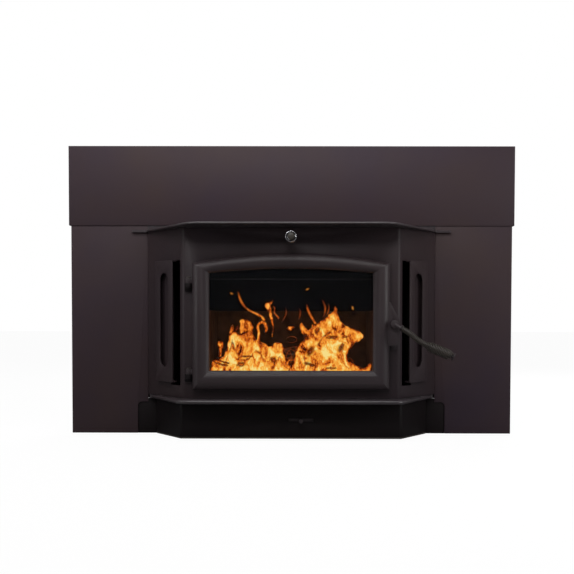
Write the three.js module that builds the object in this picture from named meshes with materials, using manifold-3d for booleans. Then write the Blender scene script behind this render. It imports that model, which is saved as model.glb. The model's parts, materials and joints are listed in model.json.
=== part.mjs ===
// A wood-burning fireplace insert: a bay-fronted steel body with an arched glass door, a three-panel
// surround, a flared top lip, a rounded hearth shelf, side vent covers and spring-coil handles.
// Millimetres. X runs to the right, Y to the back, Z up. Z = 0 is the hearth and Y = 0 the masonry face.
import * as THREE from "three";
import { mergeVertices } from "three/addons/utils/BufferGeometryUtils.js";
import Module from "manifold-3d";

const wasm = await Module();
wasm.setup();

// ---------------------------------------------------------------- driving dimensions
const gap = 0.3; // clearance between pieces that touch

// surround
const surroundWidth = 1240;
const surroundHeight = 800;
const surroundDepth = 25;
const surroundSheet = 2.5;
const topPanelHeight = 220;
const sidePanelInset = 5;
const panelOverlap = 20;
const notchHeight = 88;
const notchWidth = 30;
const notchRadius = 12;
const bracketWidth = 60;

// bay front of the body
const bodyHalfRear = 400;
const bodyHalfFront = 285;
const bayDepth = 135;
const bodySheet = 4;
const cornerRadius = 14;
const bendRadius = 6;
const bayReturn = 15;
const bayFlange = 69;

// top plate, hearth shelf and base
const bodyTop = 567;
const topPlateThickness = 6;
const lipReach = 225;
const lipHalfFront = 262;
const lipHalfRear = 407;
const lipRadius = 55;
const lipTabHalf = 443;
const lipTabDepth = 5;
const shelfTop = 110;
const shelfThickness = 11;
const shelfReach = 192;
const shelfHalfFront = 290;
const shelfHalfRear = 395;
const shelfRadius = 40;
const shelfRim = 12;
const baseReach = 115;
const baseHalfFront = 295;
const baseHalfRear = 377;
const basePlateThickness = 4;
const skirtThickness = 2.5;

// rear body
const jacketHalf = 330;
const jacketBack = 382;
const jacketSheet = 2;
const jacketFlange = 28;
const pedestalInset = 12;
const deckThickness = 6;
const fireboxHalf = 270;
const fireboxBack = 306;
const fireboxPlate = 6;
const fireboxTop = 520;
const brickThickness = 32;
const brickTop = 345;
const brickLength = 229;
const brickWidth = 114;
const mortarGroove = 2;

// smoke path
const flueX = 0;
const flueY = 190;
const flueRadius = 76;
const flueWall = 3;
const flueTop = 640;
const flueFlange = 16;
const flueBoxHalf = 110;
const flueBoxFront = -60;
const flueBoxBack = 290;
const flueBoxHeight = 26;
const bypassHalf = 58;
const bypassFront = 60;
const bypassLength = 90;
const damperPlateThickness = 4;
const baffleHeight = 430;
const baffleThickness = 6;
const combustorWidth = 320;
const combustorDepth = 80;
const combustorThickness = 50;
const combustorFront = 20;
const shieldSetback = 60;
const shieldSheet = 3;

// door
const doorHalf = 258.5;
const doorBottom = 134;
const doorCorner = 466;
const doorApex = 493;
const windowHalf = 214;
const windowBottom = 185;
const windowCorner = 440;
const windowApex = 452;
const doorStandOff = 4;
const doorThickness = 34;
const glassThickness = 5;
const glassSeat = 18;
const ropeDepth = 6;
const gasketThickness = 2.4;
const retainerThickness = 3;
const hingeOffset = 10;
const hingeSize = 8;
const hingePinRadius = 3.5;
const hingeKnuckle = 13;
const hingeHeights = [175, 414];

// latch and its handle
const latchX = 270;
const latchZ = 307;
const earOuter = 284;
const earTop = 366;
const earShoulder = 318;
const earBottom = 251;
const earThickness = 12;
const earSetOff = 18;
const shaftRadius = 6;
const hubRadius = 11;
const hubLength = 15;
const camReach = 19;
const camRadius = 7;
const camThickness = 5;
const camRest = 45;
const strikeThickness = 4;
const strikeWidth = 14;
const strikeTop = 288;
const strikeBottom = 240;
const strikeShelf = 262;
const handleRodRadius = 4.5;
const handleWire = 3.2;
const handlePitch = 4;
const gripRadius = 13.6;
const gripBend = [336, -233, 260];
const gripEnd = [417, -237, 224];

// damper rod
const damperZ = 531;
const damperRodRadius = 5;
const bushingRadius = 11;
const bushingFlange = 3;
const damperKnobRadius = 14.6;
const damperWire = 3.6;
const damperPitch = 4.6;
const damperKnobLength = 40;
const damperKnobFront = -246;

// side vent covers, measured along the slanted side from its front corner
const ventStart = 31;
const ventEnd = 120;
const ventBottom = 151;
const ventTop = 476;
const ventStandOff = 15;
const ventSheet = 4;
const slotStart = 52;
const slotEnd = 92;
const slotBottom = 192;
const slotTop = 443;
const outletStart = 15;
const outletEnd = 60;
const outletMargin = 8;

// air control and blower
const leverX = 27;
const leverWidth = 5;
const leverReach = 22;
const airTravel = 30;
const airSlotZ = 50;
const airSlideHeight = 40;
const airSlideLength = 130;
const airSlideSheet = 3;
const railWidth = 5;
const railLip = 5;
const blowerRadius = 30;
const blowerWidth = 80;
const blowerY = 250;
const blowerZ = 46;
const blowerVanes = 12;
const motorRadius = 30;
const motorLength = 90;
const blowerShaftRadius = 4;

// ---------------------------------------------------------------- shared places
const surroundFace = -surroundDepth;
const sidePanelFace = surroundFace + surroundSheet + gap;
const sidePanelBack = sidePanelFace + surroundSheet;
const bodyFront = surroundFace - bayDepth;
const bodyFrontInside = bodyFront + bodySheet;
const bayRear = surroundFace + bayReturn;
const shelfBottom = shelfTop - shelfThickness;
const topPlateBottom = bodyTop - topPlateThickness;
const panelBottom = surroundHeight - topPanelHeight;
const doorBack = bodyFront - doorStandOff;
const doorFront = doorBack - doorThickness;
const hingeX = -doorHalf - hingeOffset;
const hingeY = bodyFront - 16;
const earBack = bodyFront - earSetOff;
const earFront = earBack - earThickness;
const deckHalf = jacketHalf + 2 * jacketSheet;
const deckBottom = shelfTop - deckThickness;
const baseFace = surroundFace - baseReach;
const baseInside = baseFace + bodySheet;
const shieldY = bodyFront + shieldSetback;
const sideAngle = Math.atan2(bayDepth, bodyHalfRear - bodyHalfFront);
const fireboxInside = fireboxHalf - fireboxPlate;
const brickInside = fireboxInside - gap - brickThickness;
const floorBrickTop = shelfTop + gap + brickThickness;

// ---------------------------------------------------------------- materials
const finish = (color, roughness, metalness) =>
  new THREE.MeshStandardMaterial({ color, roughness, metalness });
const paintedBlack = finish(0x2a2324, 0.6, 0.3);
const castBlack = finish(0x2c2629, 0.5, 0.4);
const rawSteel = finish(0x4a4642, 0.6, 0.7);
const brick = finish(0x8a7258, 0.95, 0);
const ceramic = finish(0xb8ab98, 0.9, 0);
const rope = finish(0x3a3838, 1, 0);
const zinc = finish(0x8d9094, 0.5, 0.8);
const blackWire = finish(0x1c1b1d, 0.35, 0.8);
const chromeWire = finish(0x9a9aa0, 0.2, 1);
const clearGlass = new THREE.MeshStandardMaterial({
  color: 0x1c1a20,
  roughness: 0.05,
  metalness: 0,
  transparent: true,
  opacity: 0.35,
});

// ---------------------------------------------------------------- solids
function toSolid(geometry) {
  const bare = geometry.clone();
  bare.deleteAttribute("normal");
  bare.deleteAttribute("uv");
  const merged = mergeVertices(bare, 1e-4);
  return new wasm.Manifold(
    new wasm.Mesh({
      numProp: 3,
      vertProperties: new Float32Array(merged.attributes.position.array),
      triVerts: new Uint32Array(merged.index.array),
    }),
  );
}

function toGeometry(solid) {
  const mesh = solid.getMesh();
  const geometry = new THREE.BufferGeometry();
  geometry.setAttribute("position", new THREE.BufferAttribute(mesh.vertProperties, 3));
  geometry.setIndex(new THREE.BufferAttribute(mesh.triVerts, 1));
  const flat = geometry.toNonIndexed();
  flat.computeVertexNormals();
  return flat;
}

const join = (first, ...others) => others.reduce((sum, next) => sum.add(next), first);
const cut = (first, ...others) => others.reduce((rest, next) => rest.subtract(next), first);

function box(low, high) {
  const size = high.map((value, i) => value - low[i]);
  const middle = high.map((value, i) => (value + low[i]) / 2);
  return toSolid(new THREE.BoxGeometry(...size).translate(...middle));
}

const polygon = (points) => new THREE.Shape(points.map(([x, y]) => new THREE.Vector2(x, y)));

// A flat outline raised upwards from one height to another.
function raise(shape, low, high, steps = 8) {
  const options = { depth: high - low, bevelEnabled: false, curveSegments: steps };
  return toSolid(new THREE.ExtrudeGeometry(shape, options).translate(0, 0, low));
}

// An outline drawn as seen from the front, pushed from one depth towards another.
function facing(shape, front, back, steps = 12) {
  const options = { depth: back - front, bevelEnabled: false, curveSegments: steps };
  const geometry = new THREE.ExtrudeGeometry(shape, options);
  return toSolid(geometry.rotateX(Math.PI / 2).translate(0, back, 0));
}

// An outline in the (Y, Z) plane, drawn across X.
function across(shape, left, right, steps = 8) {
  const options = { depth: right - left, bevelEnabled: false, curveSegments: steps };
  const turn = new THREE.Matrix4().makeBasis(
    new THREE.Vector3(0, 1, 0),
    new THREE.Vector3(0, 0, 1),
    new THREE.Vector3(1, 0, 0),
  );
  return toSolid(new THREE.ExtrudeGeometry(shape, options).applyMatrix4(turn).translate(left, 0, 0));
}

// A round bar between two points on a line along one axis.
function bar(axis, radius, from, to, sides = 20) {
  const length = Math.abs(to[axis] - from[axis]);
  const geometry = new THREE.CylinderGeometry(radius, radius, length, sides);
  if (axis === 0) geometry.rotateZ(-Math.PI / 2);
  if (axis === 2) geometry.rotateX(Math.PI / 2);
  return toSolid(geometry.translate(...from.map((value, i) => (value + to[i]) / 2)));
}

// The outline of a bent sheet. Each point is [x, y, bend radius] on one face, and the sheet lies to the left
// of their path.
function bentSheet(points, thickness, steps = 6) {
  const face = [];
  const places = points.map(([x, y]) => new THREE.Vector2(x, y));
  const heading = (from, to) => (from && to ? to.clone().sub(from).normalize() : null);
  points.forEach(([, , radius], i) => {
    const here = places[i];
    const before = heading(places[i - 1], here);
    const after = heading(here, places[i + 1]);
    if (!before || !after) {
      face.push({ point: here, direction: before || after });
      return;
    }
    const bend = Math.atan2(before.cross(after), before.dot(after));
    const reach = radius * Math.tan(Math.abs(bend) / 2);
    const start = here.clone().addScaledVector(before, -reach);
    const side = Math.sign(bend);
    const centre = start.clone().add(new THREE.Vector2(-before.y, before.x).multiplyScalar(radius * side));
    for (let k = 0; k <= steps; k++) {
      const angle = (bend * k) / steps;
      const spoke = start.clone().rotateAround(centre, angle);
      const origin = new THREE.Vector2();
      face.push({ point: spoke, direction: before.clone().rotateAround(origin, angle) });
    }
  });
  const inner = face.map(({ point, direction }) =>
    point.clone().add(new THREE.Vector2(-direction.y, direction.x).multiplyScalar(thickness)),
  );
  return new THREE.Shape([...face.map(({ point }) => point), ...inner.reverse()]);
}

// A plan outline that is straight in front, runs back along both sides and has rounded front corners.
function bayOutline(halfFront, halfRear, front, rear, radius) {
  const right = [
    [0, front, 0],
    [halfFront, front, radius],
    [halfRear, surroundFace, 0],
  ];
  const corner = cornerArc(right[0], right[1], right[2], radius);
  const half = [...corner, [halfRear, surroundFace], [halfRear, rear]];
  const mirrored = half.map(([x, y]) => [-x, y]).reverse();
  return polygon([...mirrored, ...half]);
}

// Points of the arc that rounds the corner at b between a and c.
function cornerArc(a, b, c, radius, steps = 8) {
  const corner = new THREE.Vector2(b[0], b[1]);
  const into = corner.clone().sub(new THREE.Vector2(a[0], a[1])).normalize();
  const out = new THREE.Vector2(c[0], c[1]).sub(corner).normalize();
  const bend = Math.atan2(into.cross(out), into.dot(out));
  const start = corner.clone().addScaledVector(into, -radius * Math.tan(Math.abs(bend) / 2));
  const side = Math.sign(bend);
  const centre = start.clone().add(new THREE.Vector2(-into.y, into.x).multiplyScalar(radius * side));
  return Array.from({ length: steps + 1 }, (_, k) => {
    const p = start.clone().rotateAround(centre, (bend * k) / steps);
    return [p.x, p.y];
  });
}

// A vertical pill-shaped outline.
function pill(left, right, bottom, top) {
  const radius = (right - left) / 2;
  const middle = (right + left) / 2;
  const shape = new THREE.Shape();
  shape.absarc(middle, top - radius, radius, 0, Math.PI);
  shape.absarc(middle, bottom + radius, radius, Math.PI, 2 * Math.PI);
  return shape;
}

// ---------------------------------------------------------------- scene graph helpers
const insert = new THREE.Group();

function place(group, name, solid, material) {
  const mesh = new THREE.Mesh(toGeometry(solid), material);
  mesh.name = name;
  group.add(mesh);
  return mesh;
}

// The same piece on the right, and mirrored on the left.
function placePair(group, name, solid, material) {
  place(group, `${name}_right`, solid, material);
  place(group, `${name}_left`, solid, material).scale.x = -1;
}

// ---------------------------------------------------------------- surround
function surroundTop() {
  const half = surroundWidth / 2;
  const pan = box([-half, surroundFace, panelBottom], [half, 0, surroundHeight]);
  const inside = box(
    [-half + surroundSheet, surroundFace + surroundSheet, panelBottom - 1],
    [half - surroundSheet, 1, surroundHeight - surroundSheet],
  );
  place(insert, "surround_top", cut(pan, inside), paintedBlack);
}

function surroundSides() {
  const inner = bodyHalfRear + 2 * gap;
  const outer = surroundWidth / 2 - sidePanelInset;
  const top = panelBottom + panelOverlap;
  const plan = bentSheet(
    [
      [outer, -gap, 0],
      [outer, sidePanelFace, surroundSheet + 1],
      [inner, sidePanelFace, 0],
    ].reverse(),
    surroundSheet,
  );
  const notch = new THREE.Shape();
  notch.moveTo(inner - 1, -1);
  notch.lineTo(bodyHalfRear + notchWidth, -1);
  notch.lineTo(bodyHalfRear + notchWidth, notchHeight - notchRadius);
  const bendX = bodyHalfRear + notchWidth - notchRadius;
  notch.absarc(bendX, notchHeight - notchRadius, notchRadius, 0, Math.PI / 2);
  notch.lineTo(inner - 1, notchHeight);
  const panel = cut(raise(plan, 0, top), facing(notch, sidePanelFace - 1, 1));
  placePair(insert, "surround", panel, paintedBlack);
}

// Angles that tie the side panels to the body's flange, out of sight behind them. They close the gap between
// the two over its whole height.
function surroundBrackets() {
  const plan = bentSheet(
    [
      [bodyHalfRear + bracketWidth, sidePanelBack + gap, 0],
      [bodyHalfRear + gap, sidePanelBack + gap, surroundSheet + 1],
      [bodyHalfRear + gap, bayRear + 8, 0],
    ].reverse(),
    surroundSheet,
  );
  const low = shelfBottom + gap;
  const high = panelBottom + panelOverlap - gap;
  placePair(insert, "surround_bracket", raise(plan, low, high), paintedBlack);
}

// ---------------------------------------------------------------- bay front
// A frame whose X runs along the slanted right side from its front corner, whose Y points into the body and
// whose Z is up.
function sideFrame() {
  const along = new THREE.Vector3(Math.cos(sideAngle), Math.sin(sideAngle), 0);
  const inward = new THREE.Vector3(-Math.sin(sideAngle), Math.cos(sideAngle), 0);
  const up = new THREE.Vector3(0, 0, 1);
  return new THREE.Matrix4().makeBasis(along, inward, up).setPosition(bodyHalfFront, bodyFront, 0);
}

const onSide = (solid) => solid.transform(sideFrame().elements);
const mirrorX = (solid) => solid.mirror([1, 0, 0]);

// Points of the door's outline, going round from the lower left corner. A share of 0 is its outer edge and
// a share of 1 the window's edge; the mitre lines join the corners of the two.
function doorOutline(share, steps = 16) {
  const side = (half, bottom, corner, apex) => {
    const rise = apex - corner;
    const radius = (half * half + rise * rise) / (2 * rise);
    const arch = Array.from({ length: steps + 1 }, (_, k) => {
      const x = half * (1 - (2 * k) / steps);
      return [x, apex - radius + Math.sqrt(radius * radius - x * x)];
    });
    return [[-half, bottom], [half, bottom], ...arch];
  };
  const outer = side(doorHalf, doorBottom, doorCorner, doorApex);
  const inner = side(windowHalf, windowBottom, windowCorner, windowApex);
  return outer.map(([x, z], i) => [x + (inner[i][0] - x) * share, z + (inner[i][1] - z) * share]);
}

// A ring that follows the door's outline, from a closed section of [share, y] points.
function doorRing(section) {
  const rings = section.map(([share]) => doorOutline(share));
  const count = rings[0].length;
  const points = rings.flatMap((ring, j) => ring.flatMap(([x, z]) => [x, section[j][1], z]));
  const faces = [];
  for (let j = 0; j < section.length; j++) {
    for (let i = 0; i < count; i++) {
      const a = j * count + i;
      const b = j * count + ((i + 1) % count);
      const c = ((j + 1) % section.length) * count + ((i + 1) % count);
      const d = ((j + 1) % section.length) * count + i;
      faces.push(a, b, c, a, c, d);
    }
  }
  const geometry = new THREE.BufferGeometry();
  geometry.setAttribute("position", new THREE.Float32BufferAttribute(points, 3));
  geometry.setIndex(faces);
  return toSolid(geometry);
}

const throatShare = 0.66;

function bayFront() {
  const plan = bentSheet(
    [
      [-bodyHalfRear + bayFlange, bayRear, 0],
      [-bodyHalfRear, bayRear, bendRadius],
      [-bodyHalfRear, surroundFace, bendRadius],
      [-bodyHalfFront, bodyFront, cornerRadius],
      [bodyHalfFront, bodyFront, cornerRadius],
      [bodyHalfRear, surroundFace, bendRadius],
      [bodyHalfRear, bayRear, bendRadius],
      [bodyHalfRear - bayFlange, bayRear, 0],
    ],
    bodySheet,
  );
  const doorway = facing(polygon(doorOutline(throatShare)), bodyFront - 1, bodyFrontInside + 1);
  const outlet = onSide(
    box([outletStart, -1, ventBottom - outletMargin], [outletEnd, bodySheet + 1, ventTop]),
  );
  const rodHole = bar(
    1,
    bushingRadius + gap,
    [0, bodyFront - 1, damperZ],
    [0, bodyFrontInside + 1, damperZ],
  );
  const sheet = raise(plan, shelfTop + gap, topPlateBottom - gap);
  place(insert, "bay_front", cut(sheet, doorway, outlet, mirrorX(outlet), rodHole), paintedBlack);
}

function topPlate() {
  const outline = bayOutline(lipHalfFront, lipHalfRear, surroundFace - lipReach, -gap, lipRadius);
  const front = cut(
    nosedPlate(outline, topPlateBottom, bodyTop),
    box([-lipHalfRear - 9, surroundFace - gap, topPlateBottom - 1], [lipHalfRear + 9, 1, bodyTop + 1]),
  );
  const rear = box(
    [-bodyHalfRear, surroundFace - 1, topPlateBottom],
    [bodyHalfRear, bayRear - gap, bodyTop],
  );
  const tabs = [-1, 1].map((side) => {
    const ends = [side * (lipHalfRear - 8), side * lipTabHalf];
    return box(
      [Math.min(...ends), surroundFace - gap - lipTabDepth, topPlateBottom],
      [Math.max(...ends), surroundFace - gap, bodyTop],
    );
  });
  const upstandHalf = bodyHalfRear - 2 * gap;
  const upstand = box(
    [-upstandHalf, sidePanelFace, bodyTop - 1],
    [upstandHalf, sidePanelBack, panelBottom + panelOverlap],
  );
  place(insert, "top_plate", join(front, ...tabs, rear, upstand), paintedBlack);
}

// A flat plate with a half-round edge all the way round.
function nosedPlate(shape, low, high) {
  const round = (high - low) / 2;
  const options = {
    depth: 0.01,
    bevelEnabled: true,
    bevelThickness: round,
    bevelSize: round,
    bevelOffset: -round,
    bevelSegments: 5,
  };
  return toSolid(new THREE.ExtrudeGeometry(shape, options).translate(0, 0, low + round));
}

function hearthShelf() {
  const front = surroundFace - shelfReach;
  const outline = bayOutline(shelfHalfFront, shelfHalfRear, front, bayRear - gap, shelfRadius);
  const plate = nosedPlate(outline, shelfBottom, shelfTop);
  const pan = bayOutline(
    shelfHalfFront - shelfRim,
    shelfHalfRear - shelfRim,
    front + shelfRim,
    sidePanelBack + gap,
    shelfRadius - shelfRim / 2,
  );
  const square = box(
    [-shelfHalfRear - 9, surroundFace - 5, shelfBottom - 1],
    [shelfHalfRear + 9, 1, shelfTop + 1],
  );
  const tail = box([-shelfHalfRear, surroundFace - 6, shelfBottom], [shelfHalfRear, bayRear - gap, shelfTop]);
  const tray = cut(join(cut(plate, square), tail), raise(pan, shelfBottom - 1, shelfTop - bodySheet));
  place(insert, "hearth_shelf", tray, paintedBlack);
}

// ---------------------------------------------------------------- base
function baseFront() {
  const plan = bentSheet(
    [
      [-baseHalfRear, sidePanelBack, 0],
      [-baseHalfRear, surroundFace, bendRadius],
      [-baseHalfFront, baseFace, cornerRadius],
      [baseHalfFront, baseFace, cornerRadius],
      [baseHalfRear, surroundFace, bendRadius],
      [baseHalfRear, sidePanelBack, 0],
    ],
    bodySheet,
  );
  const sheet = raise(plan, basePlateThickness + gap, shelfTop - bodySheet - gap);
  const reach = leverWidth / 2 + airTravel + 1;
  const slot = box(
    [leverX - reach, baseFace - 1, airSlotZ - leverWidth / 2 - 2],
    [leverX + reach, baseInside + 1, airSlotZ + leverWidth / 2 + 2],
  );
  const rails = [-1, 1].map((side) => airRail(side));
  place(insert, "base_front", cut(join(sheet, ...rails), slot), paintedBlack);
}

// One of the two channels behind the base front that the air slide runs in: -1 is the lower one.
function airRail(side) {
  const edge = airSlotZ + side * (airSlideHeight / 2 + gap);
  const half = airSlideLength / 2 + airTravel + 5;
  const back = baseInside + gap + airSlideSheet + gap;
  const span = (from, to) => [Math.min(from, to), Math.max(from, to)];
  const [low, high] = span(edge, edge + side * railWidth);
  const [lipLow, lipHigh] = span(edge - side * railLip, edge + side * railWidth);
  const web = box([leverX - half, baseInside - 0.5, low], [leverX + half, back + airSlideSheet, high]);
  const lip = box([leverX - half, back, lipLow], [leverX + half, back + airSlideSheet, lipHigh]);
  return join(web, lip);
}

function airSlide() {
  const front = baseInside + gap;
  const plate = box(
    [leverX - airSlideLength / 2, front, airSlotZ - airSlideHeight / 2],
    [leverX + airSlideLength / 2, front + airSlideSheet, airSlotZ + airSlideHeight / 2],
  );
  const lever = box(
    [leverX - leverWidth / 2, baseFace - leverReach, airSlotZ - leverWidth / 2],
    [leverX + leverWidth / 2, front + 1, airSlotZ + leverWidth / 2],
  );
  const knob = bar(
    1,
    leverWidth,
    [leverX, baseFace - leverReach - leverWidth * 2, airSlotZ],
    [leverX, baseFace - leverReach + 1, airSlotZ],
    16,
  );
  place(insert, "air_slide", join(plate, lever, knob), castBlack);
}

function basePlate() {
  const outline = polygon([
    [-baseHalfFront, baseFace],
    [baseHalfFront, baseFace],
    [baseHalfRear, surroundFace],
    [baseHalfRear, sidePanelBack],
    [deckHalf, sidePanelBack],
    [deckHalf, jacketBack],
    [-deckHalf, jacketBack],
    [-deckHalf, sidePanelBack],
    [-baseHalfRear, sidePanelBack],
    [-baseHalfRear, surroundFace],
  ]);
  place(insert, "base_plate", raise(outline, 0, basePlateThickness), rawSteel);
}

// The plates that close the notch between the base and the side panels.
function skirts() {
  const inner = baseHalfRear - bodySheet;
  const outer = bodyHalfRear + notchWidth + 6;
  const skirt = box(
    [inner, sidePanelBack + gap, 0],
    [outer, sidePanelBack + gap + skirtThickness, shelfBottom - gap],
  );
  placePair(insert, "skirt", skirt, paintedBlack);
}

function pedestal() {
  const half = jacketHalf - pedestalInset;
  const top = deckBottom - gap;
  const low = basePlateThickness + gap;
  const side = box([half - jacketSheet, bayRear, low], [half, jacketBack - 2 * jacketSheet, top]);
  placePair(insert, "pedestal", side, rawSteel);
  const inside = half - jacketSheet - gap;
  const back = jacketBack - 2 * jacketSheet;
  place(insert, "pedestal_back", box([-inside, back - jacketSheet, low], [inside, back, top]), rawSteel);
  const plate = box([-deckHalf, bayRear, deckBottom], [deckHalf, jacketBack, shelfTop]);
  const duct = box(
    [-blowerWidth / 2 + 2, blowerY + 10, deckBottom - 1],
    [blowerWidth / 2 - 2, blowerY + blowerRadius + 4, shelfTop + 1],
  );
  place(insert, "deck", cut(plate, duct), rawSteel);
}

// ---------------------------------------------------------------- air jacket
function jacket() {
  const low = shelfTop + gap;
  const high = topPlateBottom - gap;
  const plan = bentSheet(
    [
      [jacketHalf, jacketBack - jacketSheet - gap, 0],
      [jacketHalf, bayRear + gap, jacketSheet + 1],
      [jacketHalf + jacketFlange, bayRear + gap, 0],
    ],
    jacketSheet,
  );
  placePair(insert, "jacket", raise(plan, low, high), rawSteel);
  const half = jacketHalf + jacketSheet;
  const back = box([-half, jacketBack - jacketSheet, low], [half, jacketBack, high]);
  place(insert, "jacket_back", back, rawSteel);
  const lid = box(
    [-deckHalf, bayRear + gap, topPlateBottom],
    [deckHalf, jacketBack, topPlateBottom + jacketSheet],
  );
  const hole = bar(
    2,
    flueRadius + gap,
    [flueX, flueY, topPlateBottom - 1],
    [flueX, flueY, topPlateBottom + jacketSheet + 1],
    40,
  );
  place(insert, "jacket_top", cut(lid, hole), rawSteel);
}

// ---------------------------------------------------------------- firebox
function firebox() {
  const low = shelfTop + gap;
  const front = bodyFrontInside + gap;
  const plateBottom = fireboxTop - fireboxPlate;
  const back = fireboxBack - fireboxPlate;
  const side = box([fireboxInside, front, low], [fireboxHalf, back - gap, plateBottom - gap]);
  placePair(insert, "firebox", side, rawSteel);
  place(
    insert,
    "firebox_back",
    box([-fireboxHalf, back, low], [fireboxHalf, fireboxBack, plateBottom - gap]),
    rawSteel,
  );
  const roof = box([-fireboxHalf, front, plateBottom], [fireboxHalf, fireboxBack, fireboxTop]);
  const hole = (from, to) => box([-bypassHalf, from, plateBottom - 1], [bypassHalf, to, fireboxTop + 1]);
  const bypass = hole(bypassFront, bypassFront + bypassLength);
  const exit = hole(bypassFront + bypassLength + 30, fireboxBack - 50);
  place(insert, "firebox_top", cut(roof, bypass, exit), rawSteel);
}

// Grooves that mark the joints between the bricks of a lining.
function joints(from, to, pitch, cutter) {
  const count = Math.floor((to - from) / pitch - 1e-6);
  return Array.from({ length: count }, (_, i) => cutter(from + (i + 1) * pitch));
}

function bricks() {
  const wide = fireboxInside - gap;
  const back = fireboxBack - fireboxPlate - gap;
  const front = bodyFrontInside + gap;
  const low = shelfTop + gap;
  const half = mortarGroove / 2;
  const floor = box([-wide, front, low], [wide, back, floorBrickTop]);
  const floorRows = joints(front, back, brickWidth, (y) =>
    box([-wide - 1, y - half, floorBrickTop - mortarGroove], [wide + 1, y + half, floorBrickTop + 1]),
  );
  const floorColumns = joints(-wide, wide, brickLength, (x) =>
    box([x - half, front - 1, floorBrickTop - mortarGroove], [x + half, back + 1, floorBrickTop + 1]),
  );
  place(insert, "brick_floor", cut(floor, ...floorRows, ...floorColumns), brick);

  const foot = floorBrickTop + gap;
  const sideFront = shieldY + shieldSheet + gap;
  const wall = box([brickInside, sideFront, foot], [wide, back, brickTop]);
  const wallJoints = joints(sideFront, back, brickWidth, (y) =>
    box([brickInside - 1, y - half, foot - 1], [brickInside + mortarGroove, y + half, brickTop + 1]),
  );
  placePair(insert, "brick", cut(wall, ...wallJoints), brick);

  const rear = brickInside - gap;
  const face = back - brickThickness;
  const backWall = box([-rear, face, foot], [rear, back, brickTop]);
  const backJoints = joints(-rear, rear, brickWidth, (x) =>
    box([x - half, face - 1, foot - 1], [x + half, face + mortarGroove, brickTop + 1]),
  );
  place(insert, "brick_back", cut(backWall, ...backJoints), brick);
}

function baffle() {
  const wide = fireboxInside - gap;
  const back = fireboxBack - fireboxPlate - gap;
  const front = shieldY + shieldSheet + gap;
  const shieldTop = fireboxTop - fireboxPlate - gap;
  const shield = box([-wide, shieldY, brickTop], [wide, shieldY + shieldSheet, shieldTop]);
  place(insert, "flame_shield", shield, rawSteel);
  const plate = box([-wide, front, baffleHeight], [wide, back, baffleHeight + baffleThickness]);
  const seat = 8;
  const opening = box(
    [-combustorWidth / 2 + seat, combustorFront + seat, baffleHeight - 1],
    [combustorWidth / 2 - seat, combustorFront + combustorDepth - seat, baffleHeight + baffleThickness + 1],
  );
  place(insert, "baffle", cut(plate, opening), rawSteel);
  const rail = box([wide - 12, front, baffleHeight - gap - 12], [wide, back, baffleHeight - gap]);
  placePair(insert, "baffle_rail", rail, rawSteel);
}

// A ceramic block pierced by a grid of square cells.
function combustor() {
  const columns = 14;
  const rows = 3;
  const rim = 8;
  const wall = 4;
  const low = baffleHeight + baffleThickness + gap;
  const high = low + combustorThickness;
  const half = combustorWidth / 2;
  const stepX = (combustorWidth - 2 * rim) / columns;
  const stepY = (combustorDepth - 2 * rim) / rows;
  const cells = [];
  for (let i = 0; i < columns; i++) {
    for (let j = 0; j < rows; j++) {
      const x = -half + rim + i * stepX + wall / 2;
      const y = combustorFront + rim + j * stepY + wall / 2;
      cells.push(box([x, y, low - 1], [x + stepX - wall, y + stepY - wall, high + 1]));
    }
  }
  const block = box([-half, combustorFront, low], [half, combustorFront + combustorDepth, high]);
  place(insert, "combustor", cut(block, ...cells), ceramic);
}

// ---------------------------------------------------------------- flue
function flue() {
  const low = fireboxTop + gap;
  const high = low + flueBoxHeight;
  const shell = box([-flueBoxHalf, flueBoxFront, low], [flueBoxHalf, flueBoxBack, high]);
  const inside = box(
    [-flueBoxHalf + flueWall, flueBoxFront + flueWall, low - 1],
    [flueBoxHalf - flueWall, flueBoxBack - flueWall, high - flueWall],
  );
  const hole = bar(2, flueRadius - flueWall, [flueX, flueY, high - 9], [flueX, flueY, high + 9], 40);
  const rodHole = bar(
    1,
    damperRodRadius + gap,
    [0, flueBoxFront - 1, damperZ],
    [0, flueBoxFront + flueWall + 1, damperZ],
  );
  place(insert, "flue_box", cut(shell, inside, hole, rodHole), rawSteel);

  const profile = [
    [flueRadius - flueWall, high + gap],
    [flueRadius, high + gap],
    [flueRadius, flueTop - flueWall],
    [flueRadius + flueFlange, flueTop - flueWall],
    [flueRadius + flueFlange, flueTop],
    [flueRadius - flueWall, flueTop],
    [flueRadius - flueWall, high + gap],
  ].map(([r, z]) => new THREE.Vector2(r, z));
  const collar = new THREE.LatheGeometry(profile, 40).rotateX(Math.PI / 2).scale(1, -1, 1);
  place(insert, "flue_collar", outward(collar.translate(flueX, flueY, 0)), rawSteel);
}

// The solid of a closed surface, whichever way round its faces were drawn.
function outward(geometry) {
  const solid = toSolid(geometry);
  if (solid.volume() > 0) return solid;
  const flipped = geometry.clone();
  const order = flipped.index.array;
  for (let i = 0; i < order.length; i += 3) [order[i + 1], order[i + 2]] = [order[i + 2], order[i + 1]];
  return toSolid(flipped);
}

// ---------------------------------------------------------------- side vent covers
function ventCovers() {
  const plan = bentSheet(
    [
      [ventStart, -ventStandOff, 0],
      [ventEnd, -ventStandOff, bendRadius],
      [ventEnd, -gap, 0],
    ],
    ventSheet,
  );
  const inside = -ventStandOff + ventSheet - 1;
  const cap = (low) => box([ventStart, inside, low], [ventEnd - 1, -gap, low + ventSheet]);
  const shell = join(raise(plan, ventBottom, ventTop), cap(ventBottom), cap(ventTop - ventSheet));
  const slot = facing(pill(slotStart, slotEnd, slotBottom, slotTop), -ventStandOff - 1, inside + 2);
  placePair(insert, "vent_cover", onSide(cut(shell, slot)), paintedBlack);
}

// ---------------------------------------------------------------- door
const ledge = doorFront + glassSeat;
const glassShare = 0.74;
const glassEdge = 0.7;

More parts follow.
